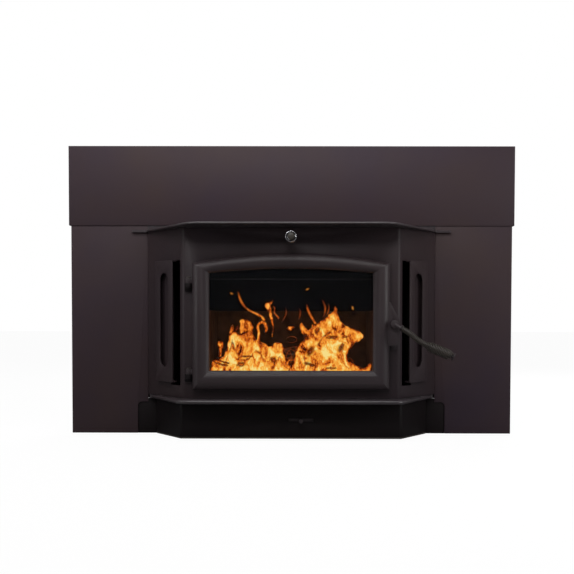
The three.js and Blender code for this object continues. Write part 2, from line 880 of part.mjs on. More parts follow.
// The crown of the door's face: how far each share of its width lies behind the highest line.
const doorCrown = [
  [0, 16],
  [0.05, 11],
  [0.16, 5.5],
  [0.34, 1.6],
  [0.54, 0],
  [0.74, 1.8],
  [0.9, 6.5],
  [1, 12],
];

function door() {
  const section = [
    [0, doorBack],
    ...doorCrown.map(([share, drop]) => [share, doorFront + drop]),
    [1, ledge],
    [glassEdge, ledge],
    [glassEdge, doorBack],
    [0.6, doorBack],
    [0.6, doorBack - ropeDepth],
    [0.36, doorBack - ropeDepth],
    [0.36, doorBack],
  ];
  const knuckles = hingeHeights.map((z) => join(
    bar(2, hingeSize, [hingeX, hingeY, z], [hingeX, hingeY, z + hingeKnuckle]),
    box([hingeX, hingeY - 6, z], [-doorHalf + 6, hingeY + 6, z + hingeKnuckle]),
  ));
  const bores = hingeHeights.map((z) =>
    bar(2, hingePinRadius + gap, [hingeX, hingeY, z - 1], [hingeX, hingeY, z + hingeKnuckle + 1]),
  );
  const ear = new THREE.Shape();
  ear.moveTo(doorHalf - 8, earTop);
  ear.lineTo(doorHalf - 1, earTop);
  ear.lineTo(earOuter, earShoulder);
  ear.lineTo(earOuter, earBottom + 12);
  ear.absarc(earOuter - 12, earBottom + 12, 12, 0, -Math.PI / 2, true);
  ear.lineTo(doorHalf - 8, earBottom);
  const latchBore = bar(1, shaftRadius + gap, [latchX, earFront - 1, latchZ], [latchX, earBack + 1, latchZ]);
  const casting = join(doorRing(section), ...knuckles, facing(ear, earFront, earBack));
  place(insert, "door_frame", cut(casting, ...bores, latchBore), castBlack);

  const ring = (from, to, front, back) => doorRing([
    [from, back],
    [from, front],
    [to, front],
    [to, back],
  ]);
  const gasketFront = ledge + gap;
  const glassFront = gasketFront + gasketThickness + gap;
  const glassBack = glassFront + glassThickness;
  place(insert, "glass_gasket", ring(glassShare, 0.96, gasketFront, gasketFront + gasketThickness), rope);
  place(insert, "door_glass", facing(polygon(doorOutline(glassShare)), glassFront, glassBack), clearGlass);
  const retainer = ring(glassShare, 0.92, glassBack + gap, glassBack + gap + retainerThickness);
  place(insert, "glass_retainer", retainer, rawSteel);
  const ropeFront = doorBack - ropeDepth + gap;
  place(insert, "door_rope", ring(0.38, 0.58, ropeFront, bodyFront - gap), rope);
}

function hinges() {
  hingeHeights.forEach((z, i) => {
    const where = i ? "upper" : "lower";
    const low = z - hingeKnuckle;
    const top = z - gap;
    const barrel = bar(2, hingeSize, [hingeX, hingeY, low], [hingeX, hingeY, top]);
    const arm = box([hingeX - 6, hingeY, low], [hingeX + 6, bodyFront - gap, top]);
    const foot = box([hingeX - 12, bodyFront - gap - 4, low - 8], [hingeX + 8, bodyFront - gap, top]);
    const bore = bar(2, hingePinRadius + gap, [hingeX, hingeY, low - 1], [hingeX, hingeY, top + 1]);
    place(insert, `hinge_bracket_${where}`, cut(join(barrel, arm, foot), bore), castBlack);
    const head = z + hingeKnuckle + gap;
    const pin = join(
      bar(2, hingePinRadius, [hingeX, hingeY, low], [hingeX, hingeY, head + 1]),
      bar(2, hingePinRadius + 2.5, [hingeX, hingeY, head], [hingeX, hingeY, head + 3]),
    );
    place(insert, `hinge_pin_${where}`, pin, rawSteel);
  });
}

// ---------------------------------------------------------------- latch and handle
const camFront = earBack + gap + 6;

function strike() {
  const footFace = bodyFront - gap;
  const lipFace = earBack + 2 * gap;
  const profile = polygon([
    [footFace, strikeBottom],
    [footFace, strikeShelf],
    [lipFace + strikeThickness, strikeShelf],
    [lipFace + strikeThickness, strikeTop],
    [lipFace, strikeTop],
    [lipFace, strikeShelf - strikeThickness],
    [footFace - strikeThickness, strikeShelf - strikeThickness],
    [footFace - strikeThickness, strikeBottom],
  ]);
  const hook = across(profile, latchX - strikeWidth / 2, latchX + strikeWidth / 2);
  place(insert, "strike_plate", hook, castBlack);
}

function latchCam() {
  const turn = THREE.MathUtils.degToRad(camRest - 90);
  const tip = [latchX + camReach * Math.cos(turn), latchZ + camReach * Math.sin(turn)];
  const neck = [
    [-camRadius, 0],
    [camRadius, 0],
    [camRadius, -camReach],
    [-camRadius, -camReach],
  ].map(([x, z]) => new THREE.Vector2(x, z).rotateAround(new THREE.Vector2(), turn + Math.PI / 2));
  const shape = polygon(neck.map(({ x, y }) => [latchX + x, latchZ + y]).reverse());
  const back = camFront + camThickness;
  const round = (radius, x, z) => bar(1, radius, [x, camFront, z], [x, back, z], 24);
  const bore = bar(1, shaftRadius + gap, [latchX, camFront - 1, latchZ], [latchX, back + 1, latchZ]);
  const hub = round(hubRadius, latchX, latchZ);
  const lobe = join(hub, facing(shape, camFront, back), round(camRadius, ...tip));
  place(insert, "latch_cam", cut(lobe, bore), castBlack);
}

const curlSteps = 8;

// The radius at which a wire's centre winds clear of a rod, also in the middle of each straight step.
const clearOf = (rodRadius, wire) => (rodRadius + gap + wire / 2) / Math.cos(Math.PI / curlSteps);

// A wound wire round a path, from one distance along it to another. Its ends run along the path for one wire
// diameter, towards the collars that they meet.
function woundWire(path, from, to, radiusAt, wire, pitch) {
  const length = path.getLength();
  const turns = Math.floor((to - from - 2 * wire) / pitch) - 1;
  const rise = (to - from - 2 * wire) / (turns + 0.4);
  const stations = [
    { along: from, angle: 0 },
    { along: from + wire, angle: 0 },
    { along: from + wire + 0.12 * rise, angle: 0.25 },
  ];
  for (let k = 1; k <= turns * curlSteps; k++) {
    const along = from + wire + 0.2 * rise + (k * rise) / curlSteps;
    stations.push({ along, angle: (2 * Math.PI * k) / curlSteps });
  }
  const last = stations[stations.length - 1].angle;
  stations.push({ along: to - wire - 0.08 * rise, angle: last + 0.25 });
  stations.push({ along: to - wire, angle: last + 0.5 });
  stations.push({ along: to, angle: last + 0.5 });
  const reference = new THREE.Vector3(0.1, -0.3, 0.95).normalize();
  const points = stations.map(({ along, angle }) => {
    const share = THREE.MathUtils.clamp(along / length, 0, 1);
    const centre = path.getPointAt(share);
    const tangent = path.getTangentAt(share);
    const first = reference.clone().addScaledVector(tangent, -reference.dot(tangent)).normalize();
    const second = tangent.clone().cross(first);
    const radius = radiusAt((along - from) / (to - from));
    centre.addScaledVector(first, radius * Math.cos(angle));
    return centre.addScaledVector(second, radius * Math.sin(angle));
  });
  reportLeastGap(points, wire);
  return tubeThrough(points, wire / 2, 5);
}

// A closed tube of a few flat sides through a list of points.
function tubeThrough(points, radius, sides) {
  const positions = [];
  let normal = new THREE.Vector3(0.3, 0.5, 0.8);
  points.forEach((point, i) => {
    const before = points[Math.max(i - 1, 0)];
    const after = points[Math.min(i + 1, points.length - 1)];
    const tangent = after.clone().sub(before).normalize();
    normal = normal.addScaledVector(tangent, -normal.dot(tangent)).normalize();
    const binormal = tangent.clone().cross(normal);
    for (let k = 0; k < sides; k++) {
      const angle = (2 * Math.PI * k) / sides;
      const spoke = normal.clone().multiplyScalar(Math.cos(angle));
      spoke.addScaledVector(binormal, Math.sin(angle));
      positions.push(...point.clone().addScaledVector(spoke, radius).toArray());
    }
  });
  const faces = [];
  const rings = points.length;
  for (let i = 0; i < rings - 1; i++) {
    for (let k = 0; k < sides; k++) {
      const next = (k + 1) % sides;
      const a = i * sides + k;
      const b = i * sides + next;
      faces.push(a, b, b + sides, a, b + sides, a + sides);
    }
  }
  const lastRing = (rings - 1) * sides;
  for (let k = 1; k < sides - 1; k++) {
    faces.push(0, k + 1, k);
    faces.push(lastRing, lastRing + k, lastRing + k + 1);
  }
  const geometry = new THREE.BufferGeometry();
  geometry.setAttribute("position", new THREE.Float32BufferAttribute(positions, 3));
  geometry.setIndex(faces);
  return toSolid(geometry);
}

// The least gap between separate turns of a wire, measured on its centre points.
function reportLeastGap(points, wire) {
  const apart = 6;
  let least = Infinity;
  for (let i = 0; i < points.length; i++) {
    for (let j = i + apart; j < points.length; j++) {
      least = Math.min(least, points[i].distanceTo(points[j]) - wire);
    }
  }
  console.log(`least gap between the turns of a wire: ${least.toFixed(2)} mm`);
}

// A disc square to a path, centred at a distance along it.
function collarOn(path, along, radius, thickness) {
  const share = along / path.getLength();
  const disc = new THREE.CylinderGeometry(radius, radius, thickness, 20);
  const up = new THREE.Vector3(0, 1, 0);
  const turn = new THREE.Quaternion().setFromUnitVectors(up, path.getTangentAt(share));
  disc.applyQuaternion(turn).translate(...path.getPointAt(share).toArray());
  return toSolid(disc);
}

function handle() {
  const hubBack = earFront - gap;
  const hubFront = hubBack - hubLength;
  const path = new THREE.CatmullRomCurve3(
    [
      new THREE.Vector3(latchX, hubFront + 5, latchZ),
      new THREE.Vector3(latchX + 10, hubFront - 8, latchZ - 7),
      new THREE.Vector3(latchX + 32, hubFront - 20, latchZ - 21),
      new THREE.Vector3(...gripBend),
      new THREE.Vector3(...gripEnd),
    ],
    false,
    "centripetal",
  );
  const length = path.getLength();
  const round = new THREE.Shape().absarc(0, 0, handleRodRadius, 0, 2 * Math.PI);
  const sweep = new THREE.ExtrudeGeometry(round, {
    steps: 18,
    curveSegments: 5,
    bevelEnabled: false,
    extrudePath: path,
  });
  const disc = 3;
  const coilFrom = 26;
  const coilTo = length - disc;
  const rod = join(
    outward(indexed(sweep)),
    bar(1, shaftRadius, [latchX, camFront + camThickness + 1, latchZ], [latchX, hubBack - 1, latchZ], 24),
    bar(1, hubRadius, [latchX, hubFront, latchZ], [latchX, hubBack, latchZ], 24),
    collarOn(path, coilFrom - disc / 2 - gap, handleRodRadius + handleWire + 1, disc),
    collarOn(path, length - disc / 2, handleRodRadius + handleWire + 2, disc),
  );
  place(insert, "handle_rod", rod, castBlack);

  const close = clearOf(handleRodRadius, handleWire);
  const bendShare = 0.46;
  const radiusAt = (share) => {
    const swell = THREE.MathUtils.smoothstep(share, bendShare, bendShare + 0.17);
    const taper = 1 - 0.45 * THREE.MathUtils.smoothstep(share, 0.9, 1);
    return close + (gripRadius * taper - close) * swell;
  };
  const coil = woundWire(path, coilFrom, coilTo - gap, radiusAt, handleWire, handlePitch);
  place(insert, "handle_coil", coil, blackWire);
}

const indexed = (geometry) => {
  const bare = geometry.clone();
  bare.deleteAttribute("normal");
  bare.deleteAttribute("uv");
  return mergeVertices(bare, 1e-4);
};

// ---------------------------------------------------------------- damper
function damper() {
  const tail = bypassFront + 4;
  const disc = 3;
  const rear = damperKnobFront + damperKnobLength;
  const onRod = (radius, from, to) => bar(1, radius, [0, from, damperZ], [0, to, damperZ], 24);
  const rod = join(
    onRod(damperRodRadius, damperKnobFront - disc, tail),
    onRod(damperRodRadius + damperWire + 1, rear + gap, rear + gap + disc),
    onRod(damperRodRadius + damperWire, damperKnobFront - disc, damperKnobFront),
  );
  place(insert, "damper_rod", rod, blackWire);
  const path = new THREE.LineCurve3(
    new THREE.Vector3(0, rear, damperZ),
    new THREE.Vector3(0, damperKnobFront + gap, damperZ),
  );
  const close = clearOf(damperRodRadius, damperWire);
  const radiusAt = (share) => {
    const swell = THREE.MathUtils.smoothstep(share, 0.05, 0.35);
    const taper = 1 - 0.38 * THREE.MathUtils.smoothstep(share, 0.82, 1);
    return close + (damperKnobRadius * taper - close) * swell;
  };
  const coil = woundWire(path, 0, path.getLength(), radiusAt, damperWire, damperPitch);
  place(insert, "damper_coil", coil, chromeWire);

  const low = fireboxTop + gap;
  const lap = 10;
  const plate = box(
    [-bypassHalf - lap, bypassFront - lap, low],
    [bypassHalf + lap, bypassFront + bypassLength + lap, low + damperPlateThickness],
  );
  const lug = box([-15, bypassFront - lap, low + 1], [15, bypassFront - lap + 6, damperZ + 10]);
  const eye = onRod(damperRodRadius + gap, bypassFront - lap - 1, bypassFront - lap + 7);
  place(insert, "damper_plate", cut(join(plate, lug), eye), castBlack);

  const seat = bodyFront - gap;
  const bushing = join(
    onRod(bushingRadius + bushingFlange, seat - bushingFlange, seat),
    onRod(bushingRadius, seat - 1, bodyFrontInside + 6),
  );
  const through = onRod(damperRodRadius + gap, bodyFront - 9, bodyFrontInside + 9);
  place(insert, "rod_bushing", cut(bushing, through), castBlack);
}

// ---------------------------------------------------------------- blower
function blower() {
  const low = basePlateThickness + gap;
  const half = blowerWidth / 2;
  const shell = 2;
  const scroll = blowerRadius + 8;
  const centre = (x) => [x, blowerY, blowerZ];
  const chuteFront = blowerY + 8;
  const chuteBack = blowerY + scroll;
  const top = deckBottom - gap;
  const foot = 24;
  const casing = join(
    bar(0, scroll, centre(-half), centre(half), 32),
    box([-half, chuteFront, blowerZ], [half, chuteBack, top]),
    box([-half, blowerY - foot, low], [half, blowerY + foot, blowerZ - scroll + 6]),
  );
  const hollow = join(
    bar(0, scroll - shell, centre(-half + shell), centre(half - shell), 32),
    box([-half + shell, chuteFront + shell, blowerZ], [half - shell, chuteBack - shell, top + 1]),
    bar(0, blowerRadius - 6, centre(half - shell - 1), centre(half + 1), 32),
    bar(0, blowerShaftRadius + gap, centre(-half - 1), centre(-half + shell + 1)),
  );
  place(insert, "blower_housing", cut(casing, hollow), zinc);

  const face = -half + shell + 2;
  const vane = box(
    [face, -1, blowerRadius - 9],
    [half - shell - 3, 1, blowerRadius - 0.5],
  );
  const vanes = Array.from({ length: blowerVanes }, (_, i) =>
    vane.rotate([(360 * i) / blowerVanes, 0, 0]).translate([0, blowerY, blowerZ]),
  );
  const rim = cut(
    bar(0, blowerRadius, centre(half - shell - 4), centre(half - shell - 2), 32),
    bar(0, blowerRadius - 8, centre(half - shell - 5), centre(half - shell - 1), 32),
  );
  const wheel = join(
    bar(0, blowerRadius, centre(face), centre(face + 2), 32),
    bar(0, blowerShaftRadius, centre(-half - 20), centre(face + 1), 16),
    bar(0, blowerShaftRadius + 5, centre(face + 1), centre(face + 14), 16),
    rim,
    ...vanes,
  );
  place(insert, "blower_wheel", wheel, zinc);

  const end = -half - gap;
  const motor = join(
    bar(0, motorRadius, centre(end - motorLength), centre(end), 24),
    box([end - motorLength + 12, blowerY - 20, low], [end - 12, blowerY + 20, blowerZ - motorRadius + 8]),
  );
  const bore = bar(0, blowerShaftRadius + gap, centre(-half - 22), centre(end + 1), 16);
  place(insert, "blower_motor", cut(motor, bore), zinc);
}

surroundTop();
surroundSides();
surroundBrackets();
bayFront();
topPlate();
hearthShelf();
baseFront();
airSlide();
basePlate();
skirts();
pedestal();
jacket();
firebox();
bricks();
baffle();
combustor();
flue();
ventCovers();
door();
hinges();
strike();
latchCam();
handle();
damper();
blower();

export default insert;
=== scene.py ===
import bpy
import bmesh
import json
import math
from mathutils import Matrix, Vector, geometry, noise


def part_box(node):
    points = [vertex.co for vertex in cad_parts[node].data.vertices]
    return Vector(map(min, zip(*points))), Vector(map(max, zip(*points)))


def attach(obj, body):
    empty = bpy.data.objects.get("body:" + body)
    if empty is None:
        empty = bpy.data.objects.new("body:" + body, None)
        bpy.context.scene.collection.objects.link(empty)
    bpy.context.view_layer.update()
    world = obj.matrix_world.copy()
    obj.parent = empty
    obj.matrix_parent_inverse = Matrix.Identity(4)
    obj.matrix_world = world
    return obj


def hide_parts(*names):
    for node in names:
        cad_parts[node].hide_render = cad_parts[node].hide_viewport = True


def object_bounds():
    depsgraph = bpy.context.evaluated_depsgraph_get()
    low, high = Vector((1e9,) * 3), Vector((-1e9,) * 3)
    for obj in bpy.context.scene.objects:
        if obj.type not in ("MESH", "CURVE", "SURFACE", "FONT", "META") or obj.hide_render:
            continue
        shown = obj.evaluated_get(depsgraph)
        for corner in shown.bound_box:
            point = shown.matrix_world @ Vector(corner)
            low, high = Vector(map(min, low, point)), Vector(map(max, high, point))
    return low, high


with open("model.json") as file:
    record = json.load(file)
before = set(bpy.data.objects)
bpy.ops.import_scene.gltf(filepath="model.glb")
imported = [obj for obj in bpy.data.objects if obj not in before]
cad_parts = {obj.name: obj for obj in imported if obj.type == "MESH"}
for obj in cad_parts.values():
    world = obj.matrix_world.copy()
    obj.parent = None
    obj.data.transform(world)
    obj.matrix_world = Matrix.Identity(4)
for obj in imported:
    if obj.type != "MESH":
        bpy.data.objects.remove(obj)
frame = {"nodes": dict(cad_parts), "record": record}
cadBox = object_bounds()
nodes = frame["nodes"]
record = frame["record"]
print("frame loaded:", len(nodes), "nodes")


# camera: standing in front of the insert, a little below its middle
view = {
    "place": (0.0108, -2.4977, 0.3207),
    "pitch": -0.0345,
    "turn": 0.0046,
    "roll": 0.0018,
    "lens": 55.49,
    "shiftLeft": 0.0070,
    "shiftUp": 0.1088,
}


def makeCamera():
    data = bpy.data.cameras.new("frontCamera")
    data.sensor_width = 36
    data.lens = view["lens"]
    data.shift_x = -view["shiftLeft"]
    data.shift_y = view["shiftUp"]
    camera = bpy.data.objects.new("frontCamera", data)
    bpy.context.scene.collection.objects.link(camera)
    level = Matrix.Rotation(math.pi / 2 + view["pitch"], 4, "X")
    turn = Matrix.Rotation(view["turn"], 4, "Z")
    roll = Matrix.Rotation(view["roll"], 4, "Z")
    camera.matrix_world = Matrix.Translation(view["place"]) @ turn @ level @ roll
    bpy.context.scene.camera = camera


makeCamera()
print("camera placed")


# node helpers
def newMaterial(name):
    material = bpy.data.materials.new(name)
    material.use_nodes = True
    tree = material.node_tree
    shader = tree.nodes["Principled BSDF"]
    return material, tree, shader


def addNode(tree, kind, **values):
    node = tree.nodes.new(kind)
    for key, value in values.items():
        setattr(node, key, value)
    return node


def setInputs(node, **values):
    for key, value in values.items():
        node.inputs[key.replace("_", " ")].default_value = value
    return node


def rgba(color):
    return (*color, 1.0)


# one group for heat-proof paint and castings: mottled colour, uneven gloss, a fine grain and dulled dust
def makeCoatGroup():
    group = bpy.data.node_groups.new("stovePaint", "ShaderNodeTree")
    face = group.interface
    for name, kind, value in (
        ("Color", "NodeSocketColor", (0.02, 0.017, 0.018, 1)),
        ("Dust Color", "NodeSocketColor", (0.05, 0.045, 0.045, 1)),
        ("Dust", "NodeSocketFloat", 0.3),
        ("Roughness", "NodeSocketFloat", 0.5),
        ("Gloss Variation", "NodeSocketFloat", 0.12),
        ("Grain Size", "NodeSocketFloat", 900.0),
        ("Grain Depth", "NodeSocketFloat", 0.0002),
    ):
        socket = face.new_socket(name, in_out="INPUT", socket_type=kind)
        socket.default_value = value
    face.new_socket("Color", in_out="OUTPUT", socket_type="NodeSocketColor")
    face.new_socket("Roughness", in_out="OUTPUT", socket_type="NodeSocketFloat")
    face.new_socket("Normal", in_out="OUTPUT", socket_type="NodeSocketVector")
    link = group.links.new
    start = addNode(group, "NodeGroupInput")
    end = addNode(group, "NodeGroupOutput")
    place = addNode(group, "ShaderNodeTexCoord").outputs["Object"]

    cloud = setInputs(addNode(group, "ShaderNodeTexNoise"), Scale=3.2, Detail=3.0, Roughness=0.55)
    link(place, cloud.inputs["Vector"])
    patch = setInputs(addNode(group, "ShaderNodeMapRange"), From_Min=0.35, From_Max=0.7)
    link(cloud.outputs["Fac"], patch.inputs["Value"])
    dusting = addNode(group, "ShaderNodeMath", operation="MULTIPLY")
    link(patch.outputs["Result"], dusting.inputs[0])
    link(start.outputs["Dust"], dusting.inputs[1])
    blend = addNode(group, "ShaderNodeMix", data_type="RGBA")
    link(dusting.outputs[0], blend.inputs["Factor"])
    link(start.outputs["Color"], blend.inputs["A"])
    link(start.outputs["Dust Color"], blend.inputs["B"])
    link(blend.outputs["Result"], end.inputs["Color"])

    streak = setInputs(addNode(group, "ShaderNodeTexNoise"), Scale=38.0, Detail=3.0, Roughness=0.55)
    link(place, streak.inputs["Vector"])
    spread = addNode(group, "ShaderNodeMath", operation="SUBTRACT")
    spread.inputs[1].default_value = 0.5
    link(streak.outputs["Fac"], spread.inputs[0])
    scaled = addNode(group, "ShaderNodeMath", operation="MULTIPLY_ADD")
    link(spread.outputs[0], scaled.inputs[0])
    link(start.outputs["Gloss Variation"], scaled.inputs[1])
    link(start.outputs["Roughness"], scaled.inputs[2])
    link(scaled.outputs[0], end.inputs["Roughness"])

    grain = setInputs(addNode(group, "ShaderNodeTexNoise"), Detail=2.0)
    link(place, grain.inputs["Vector"])
    link(start.outputs["Grain Size"], grain.inputs["Scale"])
    bump = setInputs(addNode(group, "ShaderNodeBump"), Strength=0.6)
    link(grain.outputs["Fac"], bump.inputs["Height"])
    link(start.outputs["Grain Depth"], bump.inputs["Distance"])
    link(bump.outputs["Normal"], end.inputs["Normal"])
    return group


coatGroup = makeCoatGroup()


# what is written here is in linear colour
coats = {
    "panelPaint": {
        "color": (0.054, 0.034, 0.035),
        "tint": (0.043, 0.029, 0.043),
        "dust": 0.8,
        "roughness": 0.55,
        "specular": 0.20,
    },
    "bodyPaint": {
        "color": (0.040, 0.026, 0.028),
        "tint": (0.036, 0.027, 0.034),
        "dust": 0.6,
        "roughness": 0.45,
        "specular": 0.30,
    },
    "rimPaint": {
        "color": (0.046, 0.034, 0.038),
        "tint": (0.050, 0.046, 0.052),
        "dust": 0.5,
        "roughness": 0.32,
        "specular": 0.75,
    },
    # painted shade: this black is about a quarter of the body paint, darkened to stand for the shade under
    # the shelf and near the floor; the base, skirts, shelf ends and hinge brackets all take it
    "shadeDarkenedPaint": {
        "color": (0.010, 0.007, 0.008),
        "tint": (0.013, 0.009, 0.009),
        "dust": 0.4,
        "roughness": 0.50,
        "specular": 0.16,
    },
    "castPaint": {
        "color": (0.038, 0.026, 0.028),
        "tint": (0.040, 0.031, 0.037),
        "dust": 0.5,
        "roughness": 0.42,
        "specular": 0.40,
        "grain": 520.0,
        "depth": 0.0005,
    },
    "plainSteel": {
        "color": (0.060, 0.052, 0.048),
        "tint": (0.090, 0.070, 0.055),
        "dust": 0.5,
        "roughness": 0.55,
        "specular": 0.4,
        "metallic": 0.35,
    },
    "channelSteel": {
        "color": (0.006, 0.005, 0.006),
        "tint": (0.009, 0.007, 0.007),
        "dust": 0.5,
        "roughness": 0.6,
        "specular": 0.08,
    },
    "sootySteel": {
        "color": (0.0011, 0.0012, 0.0018),
        "tint": (0.0020, 0.0019, 0.0022),
        "dust": 0.4,
        "roughness": 0.7,
        "specular": 0.01,
    },
    "zincSheet": {
        "color": (0.32, 0.33, 0.34),
        "tint": (0.42, 0.43, 0.42),
        "dust": 0.4,
        "roughness": 0.42,
        "specular": 0.5,
        "metallic": 0.85,
    },
    "blackenedWire": {
        "color": (0.042, 0.035, 0.028),
        "tint": (0.062, 0.050, 0.038),
        "dust": 0.5,
        "roughness": 0.38,
        "specular": 0.6,
    },
}


def coatMaterial(name):
    facts = coats[name]
    material, tree, shader = newMaterial(name)
    coat = addNode(tree, "ShaderNodeGroup", node_tree=coatGroup)
    coat.inputs["Color"].default_value = rgba(facts["color"])
    coat.inputs["Dust Color"].default_value = rgba(facts["tint"])
    coat.inputs["Dust"].default_value = facts["dust"]
    coat.inputs["Roughness"].default_value = facts["roughness"]
    coat.inputs["Grain Size"].default_value = facts.get("grain", 900.0)
    coat.inputs["Grain Depth"].default_value = facts.get("depth", 0.0002)
    tree.links.new(coat.outputs["Color"], shader.inputs["Base Color"])
    tree.links.new(coat.outputs["Roughness"], shader.inputs["Roughness"])
    tree.links.new(coat.outputs["Normal"], shader.inputs["Normal"])
    shader.inputs["Specular IOR Level"].default_value = facts["specular"]
    shader.inputs["Metallic"].default_value = facts.get("metallic", 0.0)
    return material


def brickMaterial():
    material, tree, shader = newMaterial("firebrick")
    link = tree.links.new
    place = addNode(tree, "ShaderNodeTexCoord").outputs["Object"]
    mottle = setInputs(addNode(tree, "ShaderNodeTexNoise"), Scale=22.0, Detail=6.0, Roughness=0.65)
    link(place, mottle.inputs["Vector"])
    ramp = addNode(tree, "ShaderNodeValToRGB")
    ramp.color_ramp.elements[0].color = rgba((0.034, 0.020, 0.013))
    ramp.color_ramp.elements[1].color = rgba((0.180, 0.105, 0.062))
    ramp.color_ramp.elements[0].position = 0.3
    ramp.color_ramp.elements[1].position = 0.75
    link(mottle.outputs["Fac"], ramp.inputs["Fac"])
    link(ramp.outputs["Color"], shader.inputs["Base Color"])
    pits = setInputs(addNode(tree, "ShaderNodeTexNoise"), Scale=240.0, Detail=4.0)
    link(place, pits.inputs["Vector"])
    bump = setInputs(addNode(tree, "ShaderNodeBump"), Strength=0.7, Distance=0.001)
    link(pits.outputs["Fac"], bump.inputs["Height"])
    link(bump.outputs["Normal"], shader.inputs["Normal"])
    shader.inputs["Roughness"].default_value = 0.95
    return material


def ceramicMaterial():
    material, tree, shader = newMaterial("catalystCeramic")
    link = tree.links.new
    place = addNode(tree, "ShaderNodeTexCoord").outputs["Object"]
    stain = setInputs(addNode(tree, "ShaderNodeTexNoise"), Scale=30.0, Detail=5.0)
    link(place, stain.inputs["Vector"])
    ramp = addNode(tree, "ShaderNodeValToRGB")
    ramp.color_ramp.elements[0].color = rgba((0.12, 0.10, 0.08))
    ramp.color_ramp.elements[1].color = rgba((0.42, 0.38, 0.32))
    link(stain.outputs["Fac"], ramp.inputs["Fac"])
    link(ramp.outputs["Color"], shader.inputs["Base Color"])
    shader.inputs["Roughness"].default_value = 0.9
    return material


def ropeMaterial():
    material, tree, shader = newMaterial("gasketRope")
    link = tree.links.new
    place = addNode(tree, "ShaderNodeTexCoord").outputs["Object"]
    weave = setInputs(addNode(tree, "ShaderNodeTexWave"), Scale=160.0, Distortion=3.0, Detail=2.0)
    weave.bands_direction = "DIAGONAL"
    link(place, weave.inputs["Vector"])
    ramp = addNode(tree, "ShaderNodeValToRGB")
    ramp.color_ramp.elements[0].color = rgba((0.012, 0.011, 0.011))
    ramp.color_ramp.elements[1].color = rgba((0.050, 0.048, 0.046))
    link(weave.outputs["Fac"], ramp.inputs["Fac"])
    link(ramp.outputs["Color"], shader.inputs["Base Color"])
    bump = setInputs(addNode(tree, "ShaderNodeBump"), Strength=0.8, Distance=0.0008)
    link(weave.outputs["Fac"], bump.inputs["Height"])
    link(bump.outputs["Normal"], shader.inputs["Normal"])
    shader.inputs["Roughness"].default_value = 0.95
    return material


def glassMaterial():
    material, tree, shader = newMaterial("doorGlass")
    place = addNode(tree, "ShaderNodeTexCoord").outputs["Object"]
    smear = setInputs(addNode(tree, "ShaderNodeTexNoise"), Scale=9.0, Detail=4.0)
    tree.links.new(place, smear.inputs["Vector"])
    haze = setInputs(addNode(tree, "ShaderNodeMapRange"), To_Min=0.0, To_Max=0.03)
    tree.links.new(smear.outputs["Fac"], haze.inputs["Value"])
    tree.links.new(haze.outputs["Result"], shader.inputs["Roughness"])
    shader.inputs["Base Color"].default_value = rgba((0.92, 0.92, 0.94))
    shader.inputs["Transmission Weight"].default_value = 1.0
    shader.inputs["IOR"].default_value = 1.12
    shader.inputs["Specular IOR Level"].default_value = 0.25
    return material


def chromeMaterial():
    material, tree, shader = newMaterial("brightWire")
    link = tree.links.new
    place = addNode(tree, "ShaderNodeTexCoord").outputs["Object"]
    drawn = setInputs(addNode(tree, "ShaderNodeTexNoise"), Scale=400.0, Detail=3.0)
    link(place, drawn.inputs["Vector"])
    gloss = setInputs(addNode(tree, "ShaderNodeMapRange"), To_Min=0.12, To_Max=0.3)
    link(drawn.outputs["Fac"], gloss.inputs["Value"])
    link(gloss.outputs["Result"], shader.inputs["Roughness"])
    shader.inputs["Base Color"].default_value = rgba((0.68, 0.68, 0.71))
    shader.inputs["Metallic"].default_value = 1.0
    return material


finishes = {name: coatMaterial(name) for name in coats}
finishes["firebrick"] = brickMaterial()
finishes["catalystCeramic"] = ceramicMaterial()
finishes["gasketRope"] = ropeMaterial()
finishes["doorGlass"] = glassMaterial()
finishes["brightWire"] = chromeMaterial()
print("finishes made:", len(finishes))


# which finish each slot of the record gets, and the nodes that differ from their slot
slotFinish = {
    "painted_steel": "bodyPaint",
    "cast_iron": "castPaint",
    "raw_steel": "plainSteel",
    "stove_glass": "doorGlass",
    "gasket_rope": "gasketRope",
    "firebrick": "firebrick",
    "combustor_ceramic": "catalystCeramic",
    "zinc_sheet": "zincSheet",
    "black_wire": "blackenedWire",
    "chrome_wire": "brightWire",
}
nodeFinish = {
    "top_plate": "rimPaint",
    "hearth_shelf": "rimPaint",
    "surround_top": "panelPaint",
    # the base front and its skirts take the black darkened with painted shade
    "surround_left": "panelPaint",
    "surround_right": "panelPaint",
    "base_front": "shadeDarkenedPaint",
    "skirt_left": "shadeDarkenedPaint",
    "skirt_right": "shadeDarkenedPaint",
    "flame_shield": "sootySteel",
    "firebox_left": "sootySteel",
    "firebox_right": "sootySteel",
    "firebox_back": "sootySteel",
    "firebox_top": "sootySteel",
    "baffle": "sootySteel",
    "baffle_rail_left": "sootySteel",
    "baffle_rail_right": "sootySteel",
    "glass_retainer": "sootySteel",
    # the hinge brackets take the same black darkened with painted shade
    "hinge_bracket_lower": "shadeDarkenedPaint",
    "hinge_bracket_upper": "shadeDarkenedPaint",
}


def giveFinish(piece, name):
    piece.data.materials.clear()
    piece.data.materials.append(finishes[name])


slotOf = {entry["node"]: entry["material_slot"] for entry in record["subparts"]}
bodyOf = {name: body for body, names in record["behaviour"]["bodies"].items() for name in names}
for nodeName, piece in nodes.items():
    giveFinish(piece, nodeFinish.get(nodeName, slotFinish[slotOf[nodeName]]))


